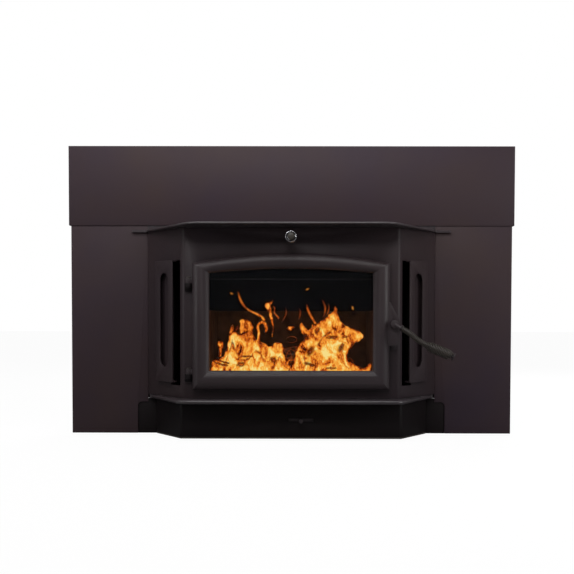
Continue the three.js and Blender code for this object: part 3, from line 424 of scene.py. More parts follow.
# sheet and cast pieces again with softened edges and smooth bends, each in its node's place
edges = {
    "surround_top": 0.9,
    "surround_left": 0.9,
    "surround_right": 0.9,
    "bay_front": 0.6,
    "top_plate": 0.8,
    "hearth_shelf": 0.8,
    "base_front": 0.6,
    "skirt_left": 0.5,
    "skirt_right": 0.5,
    "vent_cover_left": 1.0,
    "vent_cover_right": 1.0,
    "door_frame": 1.2,
    "hinge_bracket_lower": 0.7,
    "hinge_bracket_upper": 0.7,
    "hinge_pin_lower": 0.5,
    "hinge_pin_upper": 0.5,
    "handle_rod": 0.6,
    "latch_cam": 0.6,
    "strike_plate": 0.5,
    "air_slide": 0.5,
    "rod_bushing": 0.5,
    "damper_rod": 0.4,
    "flue_collar": 0.5,
    "jacket_top": 0.4,
    "jacket_back": 0.4,
    "jacket_left": 0.4,
    "jacket_right": 0.4,
    "base_plate": 0.6,
}
smoothAngle = math.radians(32)
flatAngle = math.radians(0.4)
weldReach = 2e-5


def weldedMesh(nodeName):
    shape = bmesh.new()
    shape.from_mesh(nodes[nodeName].data)
    bmesh.ops.remove_doubles(shape, verts=shape.verts, dist=weldReach)
    bmesh.ops.dissolve_limit(
        shape, angle_limit=flatAngle, verts=shape.verts, edges=shape.edges
    )
    return shape


# the shape becomes a piece with one material, riding on a body
def newPiece(name, shape, material, body):
    for face in shape.faces:
        face.smooth = True
    mesh = bpy.data.meshes.new(name)
    shape.to_mesh(mesh)
    shape.free()
    piece = bpy.data.objects.new(name, mesh)
    bpy.context.scene.collection.objects.link(piece)
    piece.data.materials.append(material)
    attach(piece, body)
    return piece


def finishPiece(name, shape, nodeName, finish):
    for edge in shape.edges:
        edge.smooth = len(edge.link_faces) == 2 and edge.calc_face_angle(0) < smoothAngle
    piece = newPiece(name, shape, finishes[finish], bodyOf[nodeName])
    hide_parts(nodeName)
    return piece


def softenedPiece(nodeName, width):
    shape = weldedMesh(nodeName)
    sharp = [
        edge
        for edge in shape.edges
        if len(edge.link_faces) == 2 and edge.calc_face_angle(0) > smoothAngle
    ]
    bmesh.ops.bevel(
        shape,
        geom=sharp,
        offset=width / 1000,
        offset_type="OFFSET",
        segments=2,
        profile=0.5,
        affect="EDGES",
        clamp_overlap=True,
    )
    finish = nodeFinish.get(nodeName, slotFinish[slotOf[nodeName]])
    return finishPiece(nodeName + "_softened", shape, nodeName, finish)


for nodeName, width in edges.items():
    softenedPiece(nodeName, width)
print("edges softened on", len(edges), "pieces")


# the two coils with round wire: how far each swells, in millimetres
wires = {"handle_coil": 0.30, "damper_coil": 0.34}
wireJoin = {"faceAngle": 0.9, "shapeAngle": 3.1, "levels": 2}


def roundWire(nodeName, swell):
    shape = weldedMesh(nodeName)
    bmesh.ops.join_triangles(
        shape,
        faces=shape.faces,
        angle_face_threshold=wireJoin["faceAngle"],
        angle_shape_threshold=wireJoin["shapeAngle"],
    )
    shape.normal_update()
    for vertex in shape.verts:
        vertex.co += vertex.normal * swell / 1000
    piece = finishPiece(nodeName + "_wound", shape, nodeName, slotFinish[slotOf[nodeName]])
    bpy.context.view_layer.objects.active = piece
    smoother = piece.modifiers.new("roundWire", "SUBSURF")
    smoother.levels = wireJoin["levels"]
    smoother.render_levels = wireJoin["levels"]
    bpy.ops.object.modifier_apply(modifier=smoother.name)
    return piece


for nodeName, swell in wires.items():
    roundWire(nodeName, swell)
print("coils wound")


# bars of sheet that the solids leave out: the channel behind the top of the glass, and the shelf's ends
trims = {
    "air_wash_channel": {
        "low": (-231, -155, 428),
        "high": (231, -141, 466),
        "edge": 2.5,
        "finish": "sootySteel",
    },
    "air_wash_lip": {
        "low": (-231, -156, 424.5),
        "high": (231, -141, 428),
        "edge": 1.2,
        "finish": "channelSteel",
    },
    # the shelf ends take the black darkened with painted shade
    "shelf_end_left": {
        "low": (-400.1, -19, 99),
        "high": (-395.2, -11, 110.1),
        "edge": 0.4,
        "finish": "shadeDarkenedPaint",
    },
    "shelf_end_right": {
        "low": (395.2, -19, 99),
        "high": (400.1, -11, 110.1),
        "edge": 0.4,
        "finish": "shadeDarkenedPaint",
    },
}


def trimBar(name, facts):
    shape = bmesh.new()
    bmesh.ops.create_cube(shape, size=1)
    for vert in shape.verts:
        for k in range(3):
            vert.co[k] = (facts["low"][k] if vert.co[k] < 0 else facts["high"][k]) / 1000
    bmesh.ops.bevel(
        shape,
        geom=shape.edges[:],
        offset=facts["edge"] / 1000,
        offset_type="OFFSET",
        segments=3,
        profile=0.5,
    )
    piece = newPiece(name, shape, finishes[facts["finish"]], "insert")


for trimName, facts in trims.items():
    trimBar(trimName, facts)
print("trims added:", len(trims))


# the fire: flame sheets drawn in the (x, z) plane, in millimetres, each at its own depth
fire = {
    "cellSize": 4.0,
    "edgeReach": 8.0,
    "lick": 4.0,
    "lickScale": (5.5, 8.0, 7),
    "ripple": 0.45,
    "rippleScale": (17, 26, 9),
    "rowRise": 0.87,
    "rimClear": 0.45,
    "strandThickness": 0.7,
    "hollowSteps": 14,
    "hollowThickness": 1.2,
    "hollowLick": 0.8,
    "masses": {
        "backLeft": (-62, 9, "flame", [
            (-215, 150), (-220, 191), (-221, 204), (-209, 210), (-194, 214), (-185, 220), (-179, 243),
            (-173, 269), (-170, 289), (-166, 305), (-158, 303), (-154, 289), (-144, 279), (-132, 285),
            (-121, 289), (-108, 287), (-101, 272), (-92, 264), (-82, 258), (-69, 252), (-56, 246),
            (-43, 256), (-27, 254), (-18, 240), (-20, 222), (-9, 211), (2, 209), (-1, 195), (-6, 150),
        ]),
        "backRight": (-119, 7, "flame", [
            (-5, 150), (1, 197), (7, 212), (11, 232), (18, 250), (31, 263), (41, 274), (29, 279),
            (23, 296), (22, 309), (30, 311), (37, 302), (42, 294), (52, 296), (55, 307), (67, 307),
            (79, 317), (91, 323), (102, 333), (111, 341), (116, 354), (124, 351), (126, 334), (134, 317),
            (148, 303), (167, 296), (183, 290), (194, 280), (194, 270), (183, 261), (172, 253), (164, 242),
            (156, 236), (153, 223), (156, 212), (168, 203), (184, 193), (200, 192), (207, 202), (216, 202),
            (215, 188), (200, 150),
        ]),
        "swirl": (-44, 7, "flame", [
            (-140, 269), (-144, 288), (-143, 305), (-145, 318), (-132, 320), (-119, 319), (-109, 311),
            (-104, 295), (-109, 275), (-122, 269),
        ]),
        "peak": (-124, 4, "flame", [
            (-67, 342), (-70, 359), (-67, 366), (-58, 365), (-51, 372), (-45, 370), (-51, 359), (-56, 350),
            (-60, 341),
        ]),
        "block": (-70, 5, "flame", [
            (-203, 217), (-198, 237), (-205, 255), (-202, 259), (-185, 258), (-187, 237), (-190, 222),
            (-193, 215),
        ]),
        "lens": (-120, 4, "flame", [
            (-16, 296), (-7, 302), (6, 302), (11, 298), (6, 291), (-7, 289),
        ]),
        "frontLeft": (-84, 8, "core", [
            (-201, 150), (-196, 192), (-181, 205), (-173, 231), (-164, 263), (-159, 270), (-152, 247),
            (-142, 221), (-126, 212), (-110, 224), (-97, 237), (-81, 228), (-68, 208), (-59, 192),
            (-55, 150),
        ]),
        "frontRight": (-128, 8, "core", [
            (28, 150), (34, 198), (31, 221), (40, 239), (59, 246), (75, 265), (91, 284), (106, 290),
            (119, 271), (135, 265), (144, 246), (140, 221), (146, 199), (164, 188), (170, 150),
        ]),
        "frontMiddle": (-112, 7, "core", [
            (-55, 150), (-48, 191), (-39, 213), (-29, 223), (-23, 207), (-10, 191), (6, 194), (15, 207),
            (25, 219), (31, 207), (36, 188), (44, 150),
        ]),
    },
    "strands": {
        "longStrand": (-122, "glow", [
            (-143, 400), (-140, 383), (-132, 364), (-119, 348), (-102, 338), (-83, 329), (-71, 315),
        ], [2.5, 7.6, 9.5, 8.2, 8.9, 11.4, 10.8]),
        "curl": (-112, "flame", [
            (-88, 259), (-87, 281), (-90, 300), (-80, 312), (-69, 305), (-67, 289), (-74, 280),
        ], [8.3, 8.9, 9.5, 10.2, 10.8, 8.9, 2.5]),
        "thread": (-120, "flame", [
            (-57, 350), (-55, 331), (-51, 315), (-48, 296), (-51, 277), (-48, 258),
        ], [7.6, 10.1, 8.9, 4.4, 3.8, 1.6]),
        "hook": (-116, "glow", [
            (-51, 356), (-44, 350), (-45, 337), (-34, 324), (-37, 318),
        ], [2.5, 7.0, 6.4, 8.3, 2.5]),
        "paleWisp": (-114, "ember", [
            (-16, 356), (-13, 337), (-19, 323), (-26, 310),
        ], [2.5, 7.0, 6.4, 1.9]),
        "lowWisp": (-98, "ember", [
            (-221, 209), (-207, 203), (-191, 197), (-172, 194),
        ], [1.9, 5.8, 8.4, 7.7]),
        "lowerWisp": (-102, "ember", [
            (-212, 219), (-200, 210), (-184, 204), (-168, 200),
        ], [1.6, 5.1, 7.1, 6.4]),
        "tallWisp": (-124, "glow", [
            (41, 366), (44, 350), (50, 334), (58, 320), (67, 306),
        ], [2.5, 10.1, 11.4, 10.8, 8.2]),
        "farWisp": (-112, "ember", [
            (80, 379), (87, 366), (92, 350), (90, 334), (85, 321),
        ], [1.9, 7.6, 9.5, 8.3, 5.1]),
        "farWispSmall": (-110, "ember", [
            (99, 366), (102, 350), (97, 331),
        ], [1.9, 5.7, 5.1]),
        "thinWisp": (-110, "ember", [
            (20, 353), (25, 340), (23, 326), (19, 315),
        ], [2.5, 8.9, 8.3, 2.5]),
        "smokeRing": (-100, "ember", [
            (-13, 263), (-10, 270), (1, 273), (13, 270), (14, 261), (1, 256), (-11, 259),
        ], [1.6, 2.9, 3.2, 3.2, 3.2, 2.9, 1.6]),
        "sparkLeft": (-120, "spark", [
            (-165, 394), (-160, 388), (-153, 387),
        ], [1.6, 6.3, 1.9]),
        "sparkMiddle": (-120, "spark", [
            (37, 398), (43, 400), (50, 404),
        ], [1.6, 6.3, 1.9]),
        "sparkRight": (-120, "spark", [
            (161, 358), (165, 351), (167, 342),
        ], [1.6, 7.6, 1.9]),
    },
    # cooler places in front of the flames: depth, middle x and z, half sizes, lean
    "hollows": {
        "hollowLeft": (-100, -137, 197, 14.0, 9.9, 0.2),
        "hollowMiddle": (-100, -48, 210, 12.4, 12.1, -0.3),
        "hollowThread": (-100, -122, 219, 18.2, 5.0, 0.1),
        "hollowLow": (-144, 50, 200, 16.6, 9.0, -0.7),
        "hollowLowRight": (-144, 108, 190, 15.8, 6.2, 0.0),
        "hollowBig": (-144, 52, 235, 14.0, 18.0, 0.3),
        "hollowHigh": (-144, 70, 290, 9.1, 12.1, 0.2),
        "hollowRight": (-144, 133, 244, 10.7, 16.1, 0.3),
        "hollowTop": (-144, 109, 272, 19.0, 7.2, -0.2),
        "hollowCentre": (-144, 41, 270, 10.7, 6.2, -0.3),
        "hollowFar": (-144, 142, 273, 9.1, 5.4, 0.5),
        "hollowSide": (-100, -147, 295, 9.9, 11.6, 0.5),
    },
}


# one group for all flame materials: heat falls off at a sheet's edge and in rolling patches inside
def makeHeatGroup():
    group = bpy.data.node_groups.new("flameHeat", "ShaderNodeTree")
    face = group.interface
    for name, value in (
        ("Warmth", 0.0),
        ("Patch Size", 42.0),
        ("Patch Depth", 0.8),
        ("Fleck Depth", 1.0),
        ("Fade", 0.3),
    ):
        socket = face.new_socket(name, in_out="INPUT", socket_type="NodeSocketFloat")
        socket.default_value = value
    face.new_socket("Heat", in_out="OUTPUT", socket_type="NodeSocketFloat")
    face.new_socket("Alpha", in_out="OUTPUT", socket_type="NodeSocketFloat")
    link = group.links.new
    start = addNode(group, "NodeGroupInput")
    end = addNode(group, "NodeGroupOutput")
    place = addNode(group, "ShaderNodeTexCoord").outputs["Object"]
    stretch = addNode(group, "ShaderNodeMapping")
    stretch.inputs["Scale"].default_value = (1.0, 0.6, 0.62)
    link(place, stretch.inputs["Vector"])
    patches = setInputs(addNode(group, "ShaderNodeTexNoise"), Detail=3.0, Roughness=0.5, Distortion=0.7)
    link(stretch.outputs["Vector"], patches.inputs["Vector"])
    link(start.outputs["Patch Size"], patches.inputs["Scale"])
    flecks = addNode(group, "ShaderNodeTexNoise")
    setInputs(flecks, Scale=150.0, Detail=2.0, Roughness=0.5, Distortion=1.2)
    link(stretch.outputs["Vector"], flecks.inputs["Vector"])
    fleckCentre = addNode(group, "ShaderNodeMath", operation="SUBTRACT")
    fleckCentre.inputs[1].default_value = 0.5
    link(flecks.outputs["Fac"], fleckCentre.inputs[0])
    fine = addNode(group, "ShaderNodeMath", operation="MULTIPLY_ADD")
    link(fleckCentre.outputs[0], fine.inputs[0])
    link(start.outputs["Fleck Depth"], fine.inputs[1])
    link(start.outputs["Warmth"], fine.inputs[2])
    rim = addNode(group, "ShaderNodeAttribute", attribute_name="rim")
    centred = addNode(group, "ShaderNodeMath", operation="SUBTRACT")
    centred.inputs[1].default_value = 0.5
    link(patches.outputs["Fac"], centred.inputs[0])
    depth = addNode(group, "ShaderNodeMath", operation="MULTIPLY_ADD")
    link(centred.outputs[0], depth.inputs[0])
    link(start.outputs["Patch Depth"], depth.inputs[1])
    link(fine.outputs[0], depth.inputs[2])
    warm = addNode(group, "ShaderNodeMath", operation="MULTIPLY_ADD", use_clamp=True)
    warm.inputs[1].default_value = 0.55
    link(rim.outputs["Fac"], warm.inputs[0])
    link(depth.outputs[0], warm.inputs[2])
    link(warm.outputs[0], end.inputs["Heat"])
    fade = setInputs(addNode(group, "ShaderNodeMapRange"), From_Min=0.02)
    fade.interpolation_type = "SMOOTHSTEP"
    link(rim.outputs["Fac"], fade.inputs["Value"])
    link(start.outputs["Fade"], fade.inputs["From Max"])
    link(fade.outputs["Result"], end.inputs["Alpha"])
    return group


heatGroup = makeHeatGroup()

flameTones = {
    "flame": {"warmth": 0.05, "size": 52.0, "depth": 2.4, "fleck": 1.1, "fade": 0.35, "strength": 1.0},
    "core": {"warmth": 0.11, "size": 46.0, "depth": 2.5, "fleck": 1.2, "fade": 0.9, "strength": 1.0},
    "glow": {"warmth": 0.04, "size": 60.0, "depth": 1.6, "fleck": 0.8, "fade": 0.8, "strength": 0.8},
    "ember": {"warmth": -0.15, "size": 60.0, "depth": 0.7, "fleck": 0.5, "fade": 1.0, "strength": 0.5},
    "spark": {"warmth": 0.30, "size": 60.0, "depth": 0.4, "fleck": 0.2, "fade": 1.0, "strength": 0.6},
    "hollow": {"warmth": -0.22, "size": 90.0, "depth": 0.6, "fleck": 0.7, "fade": 1.0, "strength": 0.9},
}
flameRamp = [
    (0.00, (0.030, 0.004, 0.001)),
    (0.18, (0.18, 0.020, 0.002)),
    (0.34, (0.55, 0.095, 0.007)),
    (0.52, (0.88, 0.25, 0.020)),
    (0.74, (1.00, 0.44, 0.055)),
    (0.90, (1.00, 0.60, 0.12)),
    (1.00, (1.00, 0.76, 0.25)),
]


def flameMaterial(name):
    facts = flameTones[name]
    material, tree, shader = newMaterial(name + "Light")
    heat = addNode(tree, "ShaderNodeGroup", node_tree=heatGroup)
    heat.inputs["Warmth"].default_value = facts["warmth"]
    heat.inputs["Patch Size"].default_value = facts["size"]
    heat.inputs["Patch Depth"].default_value = facts["depth"]
    heat.inputs["Fleck Depth"].default_value = facts["fleck"]
    heat.inputs["Fade"].default_value = facts["fade"]
    ramp = addNode(tree, "ShaderNodeValToRGB")
    stops = ramp.color_ramp.elements
    stops[0].position, stops[0].color = flameRamp[0][0], rgba(flameRamp[0][1])
    stops[1].position, stops[1].color = flameRamp[-1][0], rgba(flameRamp[-1][1])
    for position, color in flameRamp[1:-1]:
        stops.new(position).color = rgba(color)
    tree.links.new(heat.outputs["Heat"], ramp.inputs["Fac"])
    tree.links.new(ramp.outputs["Color"], shader.inputs["Emission Color"])
    tree.links.new(heat.outputs["Alpha"], shader.inputs["Alpha"])
    shader.inputs["Emission Strength"].default_value = facts["strength"]
    shader.inputs["Base Color"].default_value = (0, 0, 0, 1)
    shader.inputs["Specular IOR Level"].default_value = 0.0
    shader.inputs["Roughness"].default_value = 1.0
    return material


flameLights = {name: flameMaterial(name) for name in flameTones}


def smoothLoop(points, steps=4):
    loop = []
    count = len(points)
    for i in range(count):
        a, b, c, d = (Vector(points[(i + k) % count]) for k in (-1, 0, 1, 2))
        for step in range(steps):
            t = step / steps
            loop.append(
                0.5 * (2 * b + (c - a) * t + (2 * a - 5 * b + 4 * c - d) * t * t
                       + (3 * b - a - 3 * c + d) * t ** 3)
            )
    return loop


# small licks along an outline, the same on each run
def raggedLoop(loop, depth, reach):
    ragged = []
    scaleX, scaleZ, scaleDepth = fire["lickScale"]
    for i, point in enumerate(loop):
        along = (loop[(i + 1) % len(loop)] - loop[i - 1]).normalized()
        lick = noise.noise(Vector((point.x / scaleX, point.y / scaleZ, depth / scaleDepth)))
        ragged.append(point + Vector((along.y, -along.x)) * lick * reach)
    return ragged


def strandLoop(points, widths):
    left, right = [], []
    for i, point in enumerate(points):
        ahead = Vector(points[min(i + 1, len(points) - 1)])
        behind = Vector(points[max(i - 1, 0)])
        along = (ahead - behind).normalized()
        side = Vector((-along.y, along.x)) * widths[i] / 2
        left.append(Vector(point) + side)
        right.append(Vector(point) - side)
    return left + right[::-1]


def rimDistance(point, loop):
    best = 1e9
    for a, b in zip(loop, loop[1:] + loop[:1]):
        edge = b - a
        share = max(0.0, min(1.0, (point - a).dot(edge) / max(edge.length_squared, 1e-9)))
        best = min(best, (point - a - edge * share).length)
    return best


# a closed flame: the outline filled, swollen to the front and the back away from its rim
def flameSheet(name, loop, depth, thickness, tone, reach):
    cell = min(fire["cellSize"], reach * 0.6)
    low = [min(p[k] for p in loop) for k in (0, 1)]
    high = [max(p[k] for p in loop) for k in (0, 1)]
    inner = []
    row = 0
    z = low[1]
    while z < high[1]:
        x = low[0] + (cell / 2 if row % 2 else 0)
        while x < high[0]:
            inner.append(Vector((x, z)))
            x += cell
        z += cell * fire["rowRise"]
        row += 1
    edges = [(i, (i + 1) % len(loop)) for i in range(len(loop))]
    filling = [p for p in inner if rimDistance(p, loop) > cell * fire["rimClear"]]
    points, _, faces, _, _, _ = geometry.delaunay_2d_cdt(
        loop + filling, edges, [list(range(len(loop)))], 1, 1e-4
    )
    scaleX, scaleZ, scaleDepth = fire["rippleScale"]
    shape = bmesh.new()
    rimLayer = shape.verts.layers.float.new("rim")
    sides = []
    distances = [rimDistance(p, loop) for p in points]
    for way in (-1, 1):
        verts = []
        for p, distance in zip(points, distances):
            share = min(1.0, distance / reach)
            swell = thickness * math.sqrt(max(0.0, share * (2 - share)))
            spot = Vector((p.x / scaleX, p.y / scaleZ, depth / scaleDepth + way))
            ripple = 1 + fire["ripple"] * noise.noise(spot)
            vert = shape.verts.new((p.x / 1000, (depth + way * swell * ripple) / 1000, p.y / 1000))
            vert[rimLayer] = share
            verts.append(vert)
        sides.append(verts)
    for face in faces:
        if len(face) == 3:
            shape.faces.new([sides[0][i] for i in face])
            shape.faces.new([sides[1][i] for i in reversed(face)])
    bmesh.ops.remove_doubles(shape, verts=shape.verts, dist=1e-5)
    loose = [v for v in shape.verts if not v.link_faces]
    bmesh.ops.delete(shape, geom=loose, context="VERTS")
    bmesh.ops.recalc_face_normals(shape, faces=shape.faces)
    newPiece(name, shape, flameLights[tone], "insert")


for flameName, (depth, thickness, tone, points) in fire["masses"].items():
    loop = raggedLoop(smoothLoop(points), depth, fire["lick"])
    flameSheet("fire_" + flameName, loop, depth, thickness, tone, fire["edgeReach"])
for flameName, (depth, tone, points, widths) in fire["strands"].items():
    loop = smoothLoop(strandLoop(points, widths))
    reach = max(widths) / 2
    flameSheet("fire_" + flameName, loop, depth, reach * fire["strandThickness"], tone, reach)
for hollowName, facts in fire["hollows"].items():
    depth, middleX, middleZ, halfWidth, halfHeight, lean = facts
    points = []
    for step in range(fire["hollowSteps"]):
        angle = 2 * math.pi * step / fire["hollowSteps"]
        rise = halfHeight * math.sin(angle)
        points.append((middleX + halfWidth * math.cos(angle) + lean * rise, middleZ + rise))
    loop = raggedLoop(smoothLoop(points, 2), depth + middleX, fire["lick"] * fire["hollowLick"])
    reach = min(halfWidth, halfHeight)
    flameSheet("fire_" + hollowName, loop, depth, fire["hollowThickness"], "hollow", reach)
print("fire lit:", len(fire["masses"]) + len(fire["strands"]) + len(fire["hollows"]), "flames")


# ash bed and charred logs under the flames
hearth = {
    "floor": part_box("brick_floor")[1].z,
    "bed": {"halfWidth": 0.222, "front": -0.148, "back": 0.25, "height": 0.016, "cells": 46},
    "rings": 22,
    "sides": 18,
    "bark": 0.22,
    "logs": [
        {"from": (-0.19, 0.055, 0.036), "to": (0.18, 0.075, 0.034), "radius": 0.026},
        {"from": (-0.17, 0.155, 0.040), "to": (0.19, 0.135, 0.036), "radius": 0.030},
        {"from": (-0.10, 0.050, 0.066), "to": (0.07, 0.190, 0.078), "radius": 0.021},
    ],
}


def charMaterial():
    material, tree, shader = newMaterial("charredWood")
    link = tree.links.new
    place = addNode(tree, "ShaderNodeTexCoord").outputs["Object"]
    cracks = setInputs(addNode(tree, "ShaderNodeTexVoronoi"), Scale=70.0)
    cracks.feature = "DISTANCE_TO_EDGE"
    link(place, cracks.inputs["Vector"])
    ash = setInputs(addNode(tree, "ShaderNodeTexNoise"), Scale=34.0, Detail=5.0)
    link(place, ash.inputs["Vector"])
    tint = addNode(tree, "ShaderNodeValToRGB")
    tint.color_ramp.elements[0].color = rgba((0.006, 0.005, 0.005))
    tint.color_ramp.elements[1].color = rgba((0.075, 0.068, 0.062))
    tint.color_ramp.elements[0].position = 0.48
    tint.color_ramp.elements[1].position = 0.72
    link(ash.outputs["Fac"], tint.inputs["Fac"])
    link(tint.outputs["Color"], shader.inputs["Base Color"])
    glow = addNode(tree, "ShaderNodeValToRGB")
    glow.color_ramp.elements[0].color = rgba((0.45, 0.07, 0.006))
    glow.color_ramp.elements[1].color = rgba((0.0, 0.0, 0.0))
    glow.color_ramp.elements[1].position = 0.06
    link(cracks.outputs["Distance"], glow.inputs["Fac"])
    link(glow.outputs["Color"], shader.inputs["Emission Color"])
    shader.inputs["Emission Strength"].default_value = 0.8
    bump = setInputs(addNode(tree, "ShaderNodeBump"), Strength=0.9, Distance=0.002)
    link(cracks.outputs["Distance"], bump.inputs["Height"])
    link(bump.outputs["Normal"], shader.inputs["Normal"])
    shader.inputs["Roughness"].default_value = 0.95
    return material


charredWood = charMaterial()


def ashBed():
    facts = hearth["bed"]
    shape = bmesh.new()
    bmesh.ops.create_grid(shape, x_segments=facts["cells"], y_segments=facts["cells"] // 2, size=1)
    middle = (facts["front"] + facts["back"]) / 2
    reach = (facts["back"] - facts["front"]) / 2
    top = list(shape.verts)
    bottom = bmesh.ops.extrude_face_region(shape, geom=shape.faces[:])
    for vert in top:
        edge = min(1.0, 6 * (1 - max(abs(vert.co.x), abs(vert.co.y))))
        lumps = 0.75 + 0.5 * noise.noise(Vector((vert.co.x * 9, vert.co.y * 6, 3.1)))
        vert.co.z = hearth["floor"] + 0.001 + facts["height"] * edge * lumps
    for item in bottom["geom"]:
        if isinstance(item, bmesh.types.BMVert):
            item.co.z = hearth["floor"] + 0.0003
    for vert in shape.verts:
        vert.co.x *= facts["halfWidth"]
        vert.co.y = middle + vert.co.y * reach
    bmesh.ops.recalc_face_normals(shape, faces=shape.faces)
    newPiece("ash_bed", shape, charredWood, "insert")


def charredLog(index, facts):
    start, finish = Vector(facts["from"]), Vector(facts["to"])
    axis = finish - start
    length = axis.length
    turn = axis.to_track_quat("Z", "Y")
    shape = bmesh.new()
    rings, sides = hearth["rings"], hearth["sides"]
    loops = []
    for i in range(rings + 1):
        share = i / rings
        endRound = math.sqrt(max(0.0, 1 - max(0.0, abs(2 * share - 1) - 0.94) ** 2 / 0.06 ** 2 * 0.75))
        loop = []
        for k in range(sides):
            angle = 2 * math.pi * k / sides
            bark = Vector((math.cos(angle) * 1.3, math.sin(angle) * 1.3, share * 7 + 11 * index))
            rough = 1 + hearth["bark"] * noise.noise(bark)
            radius = facts["radius"] * endRound * rough
            point = Vector((radius * math.cos(angle), radius * math.sin(angle), share * length))
            place = turn @ point + start
            loop.append(shape.verts.new((place.x, place.y, place.z + hearth["floor"])))
        loops.append(loop)
    for lower, upper in zip(loops, loops[1:]):
        for k in range(sides):
            other = (k + 1) % sides
            shape.faces.new((lower[k], lower[other], upper[other], upper[k]))
    shape.faces.new(loops[0][::-1])
    shape.faces.new(loops[-1])
    bmesh.ops.recalc_face_normals(shape, faces=shape.faces)
    newPiece("charred_log_" + str(index + 1), shape, charredWood, "insert")


ashBed()
for index, facts in enumerate(hearth["logs"]):
    charredLog(index, facts)
print("ash bed and logs laid")


# floor, daylight and lamps
studio = {
    "floorColor": (0.30, 0.30, 0.30),
    "floorShade": 0.75,
    "floorWhite": 1.26,
    "roomLevel": 0.020,
    "roomAbove": 0.22,
    "roomBelow": 0.01,
    "lamps": {
        "topLamp": {
            "place": (-0.1, -0.62, 1.25),
            "target": (0, 0, 0.55),
            "power": 6.0,
            "size": (1.7, 0.3),
        },
        "frontLamp": {
            "place": (-0.2, -2.3, 1.75),
            "target": (0, 0, 0.3),
            "power": 13,
            "size": (1.4, 0.5),
        },
        "leftLamp": {
            "place": (-1.9, -1.1, 0.75),
            "target": (-0.2, 0, 0.4),
            "power": 5,
            "size": (0.35, 1.1),
        },
        "rightLamp": {
            "place": (1.9, -1.1, 0.75),
            "target": (0.2, 0, 0.4),
            "power": 9.5,
            "size": (0.35, 1.1),
        },
        "backLamp": {
            "place": (0.9, 2.2, 2.0),
            "target": (0, 0.2, 0.3),
            "power": 34,
            "size": (2.0, 2.0),
        },
    },
}


def whiteRays(tree, glossyMask=None):
    path = addNode(tree, "ShaderNodeLightPath")
    seen = addNode(tree, "ShaderNodeMath", operation="MAXIMUM")
    tree.links.new(path.outputs["Is Camera Ray"], seen.inputs[0])
    tree.links.new(path.outputs["Is Transmission Ray"], seen.inputs[1])
    if glossyMask is None:
        return seen.outputs[0]
    mirrored = addNode(tree, "ShaderNodeMath", operation="MULTIPLY")
    tree.links.new(path.outputs["Is Glossy Ray"], mirrored.inputs[0])
    tree.links.new(glossyMask, mirrored.inputs[1])
    both = addNode(tree, "ShaderNodeMath", operation="MAXIMUM")
    tree.links.new(seen.outputs[0], both.inputs[0])
    tree.links.new(mirrored.outputs[0], both.inputs[1])
    return both.outputs[0]


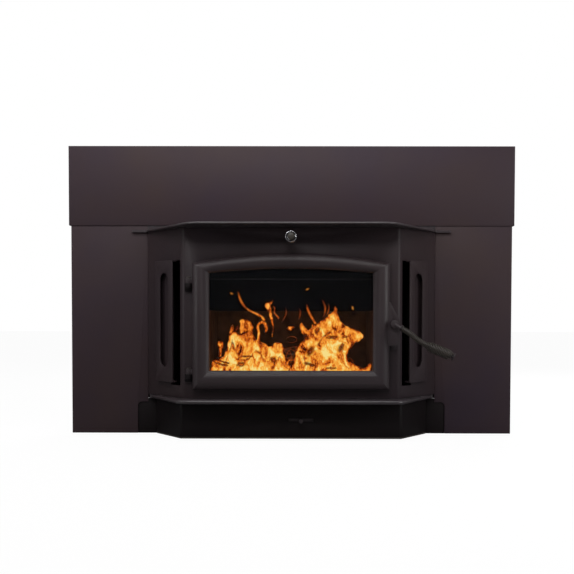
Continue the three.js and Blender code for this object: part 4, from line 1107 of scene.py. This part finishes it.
# a dim room, white where it is seen, and behind the object white in its reflections too
def makeRoom():
    world = bpy.data.worlds.new("paleRoom")
    bpy.context.scene.world = world
    world.use_nodes = True
    tree = world.node_tree
    tree.nodes.clear()
    link = tree.links.new
    seen = addNode(tree, "ShaderNodeBackground")
    seen.inputs["Color"].default_value = (1, 1, 1, 1)
    light = addNode(tree, "ShaderNodeBackground")
    where = addNode(tree, "ShaderNodeTexCoord")
    axes = addNode(tree, "ShaderNodeSeparateXYZ")
    link(where.outputs["Generated"], axes.inputs[0])
    rise = setInputs(addNode(tree, "ShaderNodeMapRange"), From_Min=-1.0, From_Max=1.0)
    link(axes.outputs["Z"], rise.inputs["Value"])
    ramp = addNode(tree, "ShaderNodeValToRGB")
    stops = ramp.color_ramp.elements
    stops[0].color = rgba([studio["roomBelow"]] * 3)
    stops[1].color = rgba([studio["roomAbove"]] * 3)
    stops.new(0.5).color = rgba([studio["roomLevel"]] * 3)
    link(rise.outputs["Result"], ramp.inputs["Fac"])
    link(ramp.outputs["Color"], light.inputs["Color"])
    behind = setInputs(addNode(tree, "ShaderNodeMapRange"), From_Min=0.2, From_Max=0.5)
    link(axes.outputs["Y"], behind.inputs["Value"])
    mix = addNode(tree, "ShaderNodeMixShader")
    link(whiteRays(tree, behind.outputs["Result"]), mix.inputs["Fac"])
    link(light.outputs[0], mix.inputs[1])
    link(seen.outputs[0], mix.inputs[2])
    out = addNode(tree, "ShaderNodeOutputWorld")
    link(mix.outputs[0], out.inputs["Surface"])


def makeFloor():
    bpy.ops.mesh.primitive_plane_add(size=40, location=(0, 0, cadBox[0].z - 0.0005))
    floor = bpy.context.object
    floor.name = "paleFloor"
    material, tree, shader = newMaterial("floorPaper")
    link = tree.links.new
    place = addNode(tree, "ShaderNodeTexCoord").outputs["Object"]
    tooth = setInputs(addNode(tree, "ShaderNodeTexNoise"), Scale=60.0, Detail=3.0)
    link(place, tooth.inputs["Vector"])
    bump = setInputs(addNode(tree, "ShaderNodeBump"), Strength=0.1, Distance=0.0005)
    link(tooth.outputs["Fac"], bump.inputs["Height"])
    link(bump.outputs["Normal"], shader.inputs["Normal"])
    shader.inputs["Base Color"].default_value = rgba(studio["floorColor"])
    shader.inputs["Roughness"].default_value = 0.9
    white = addNode(tree, "ShaderNodeEmission")
    white.inputs["Strength"].default_value = studio["floorWhite"]
    keep = addNode(tree, "ShaderNodeMath", operation="MULTIPLY")
    keep.inputs[1].default_value = studio["floorShade"]
    link(whiteRays(tree), keep.inputs[0])
    mix = addNode(tree, "ShaderNodeMixShader")
    link(keep.outputs[0], mix.inputs["Fac"])
    link(shader.outputs[0], mix.inputs[1])
    link(white.outputs[0], mix.inputs[2])
    link(mix.outputs[0], tree.nodes["Material Output"].inputs["Surface"])
    floor.data.materials.append(material)


def makeLamp(name, facts):
    data = bpy.data.lights.new(name, "AREA")
    data.shape = "RECTANGLE"
    data.energy = facts["power"]
    data.size, data.size_y = facts["size"]
    lamp = bpy.data.objects.new(name, data)
    bpy.context.scene.collection.objects.link(lamp)
    lamp.location = facts["place"]
    aim = Vector(facts["target"]) - Vector(facts["place"])
    lamp.rotation_mode = "QUATERNION"
    lamp.rotation_quaternion = aim.to_track_quat("-Z", "Y")


makeRoom()
makeFloor()
for lampName, facts in studio["lamps"].items():
    makeLamp(lampName, facts)
bpy.context.scene.view_settings.view_transform = "Standard"
print("studio lit")
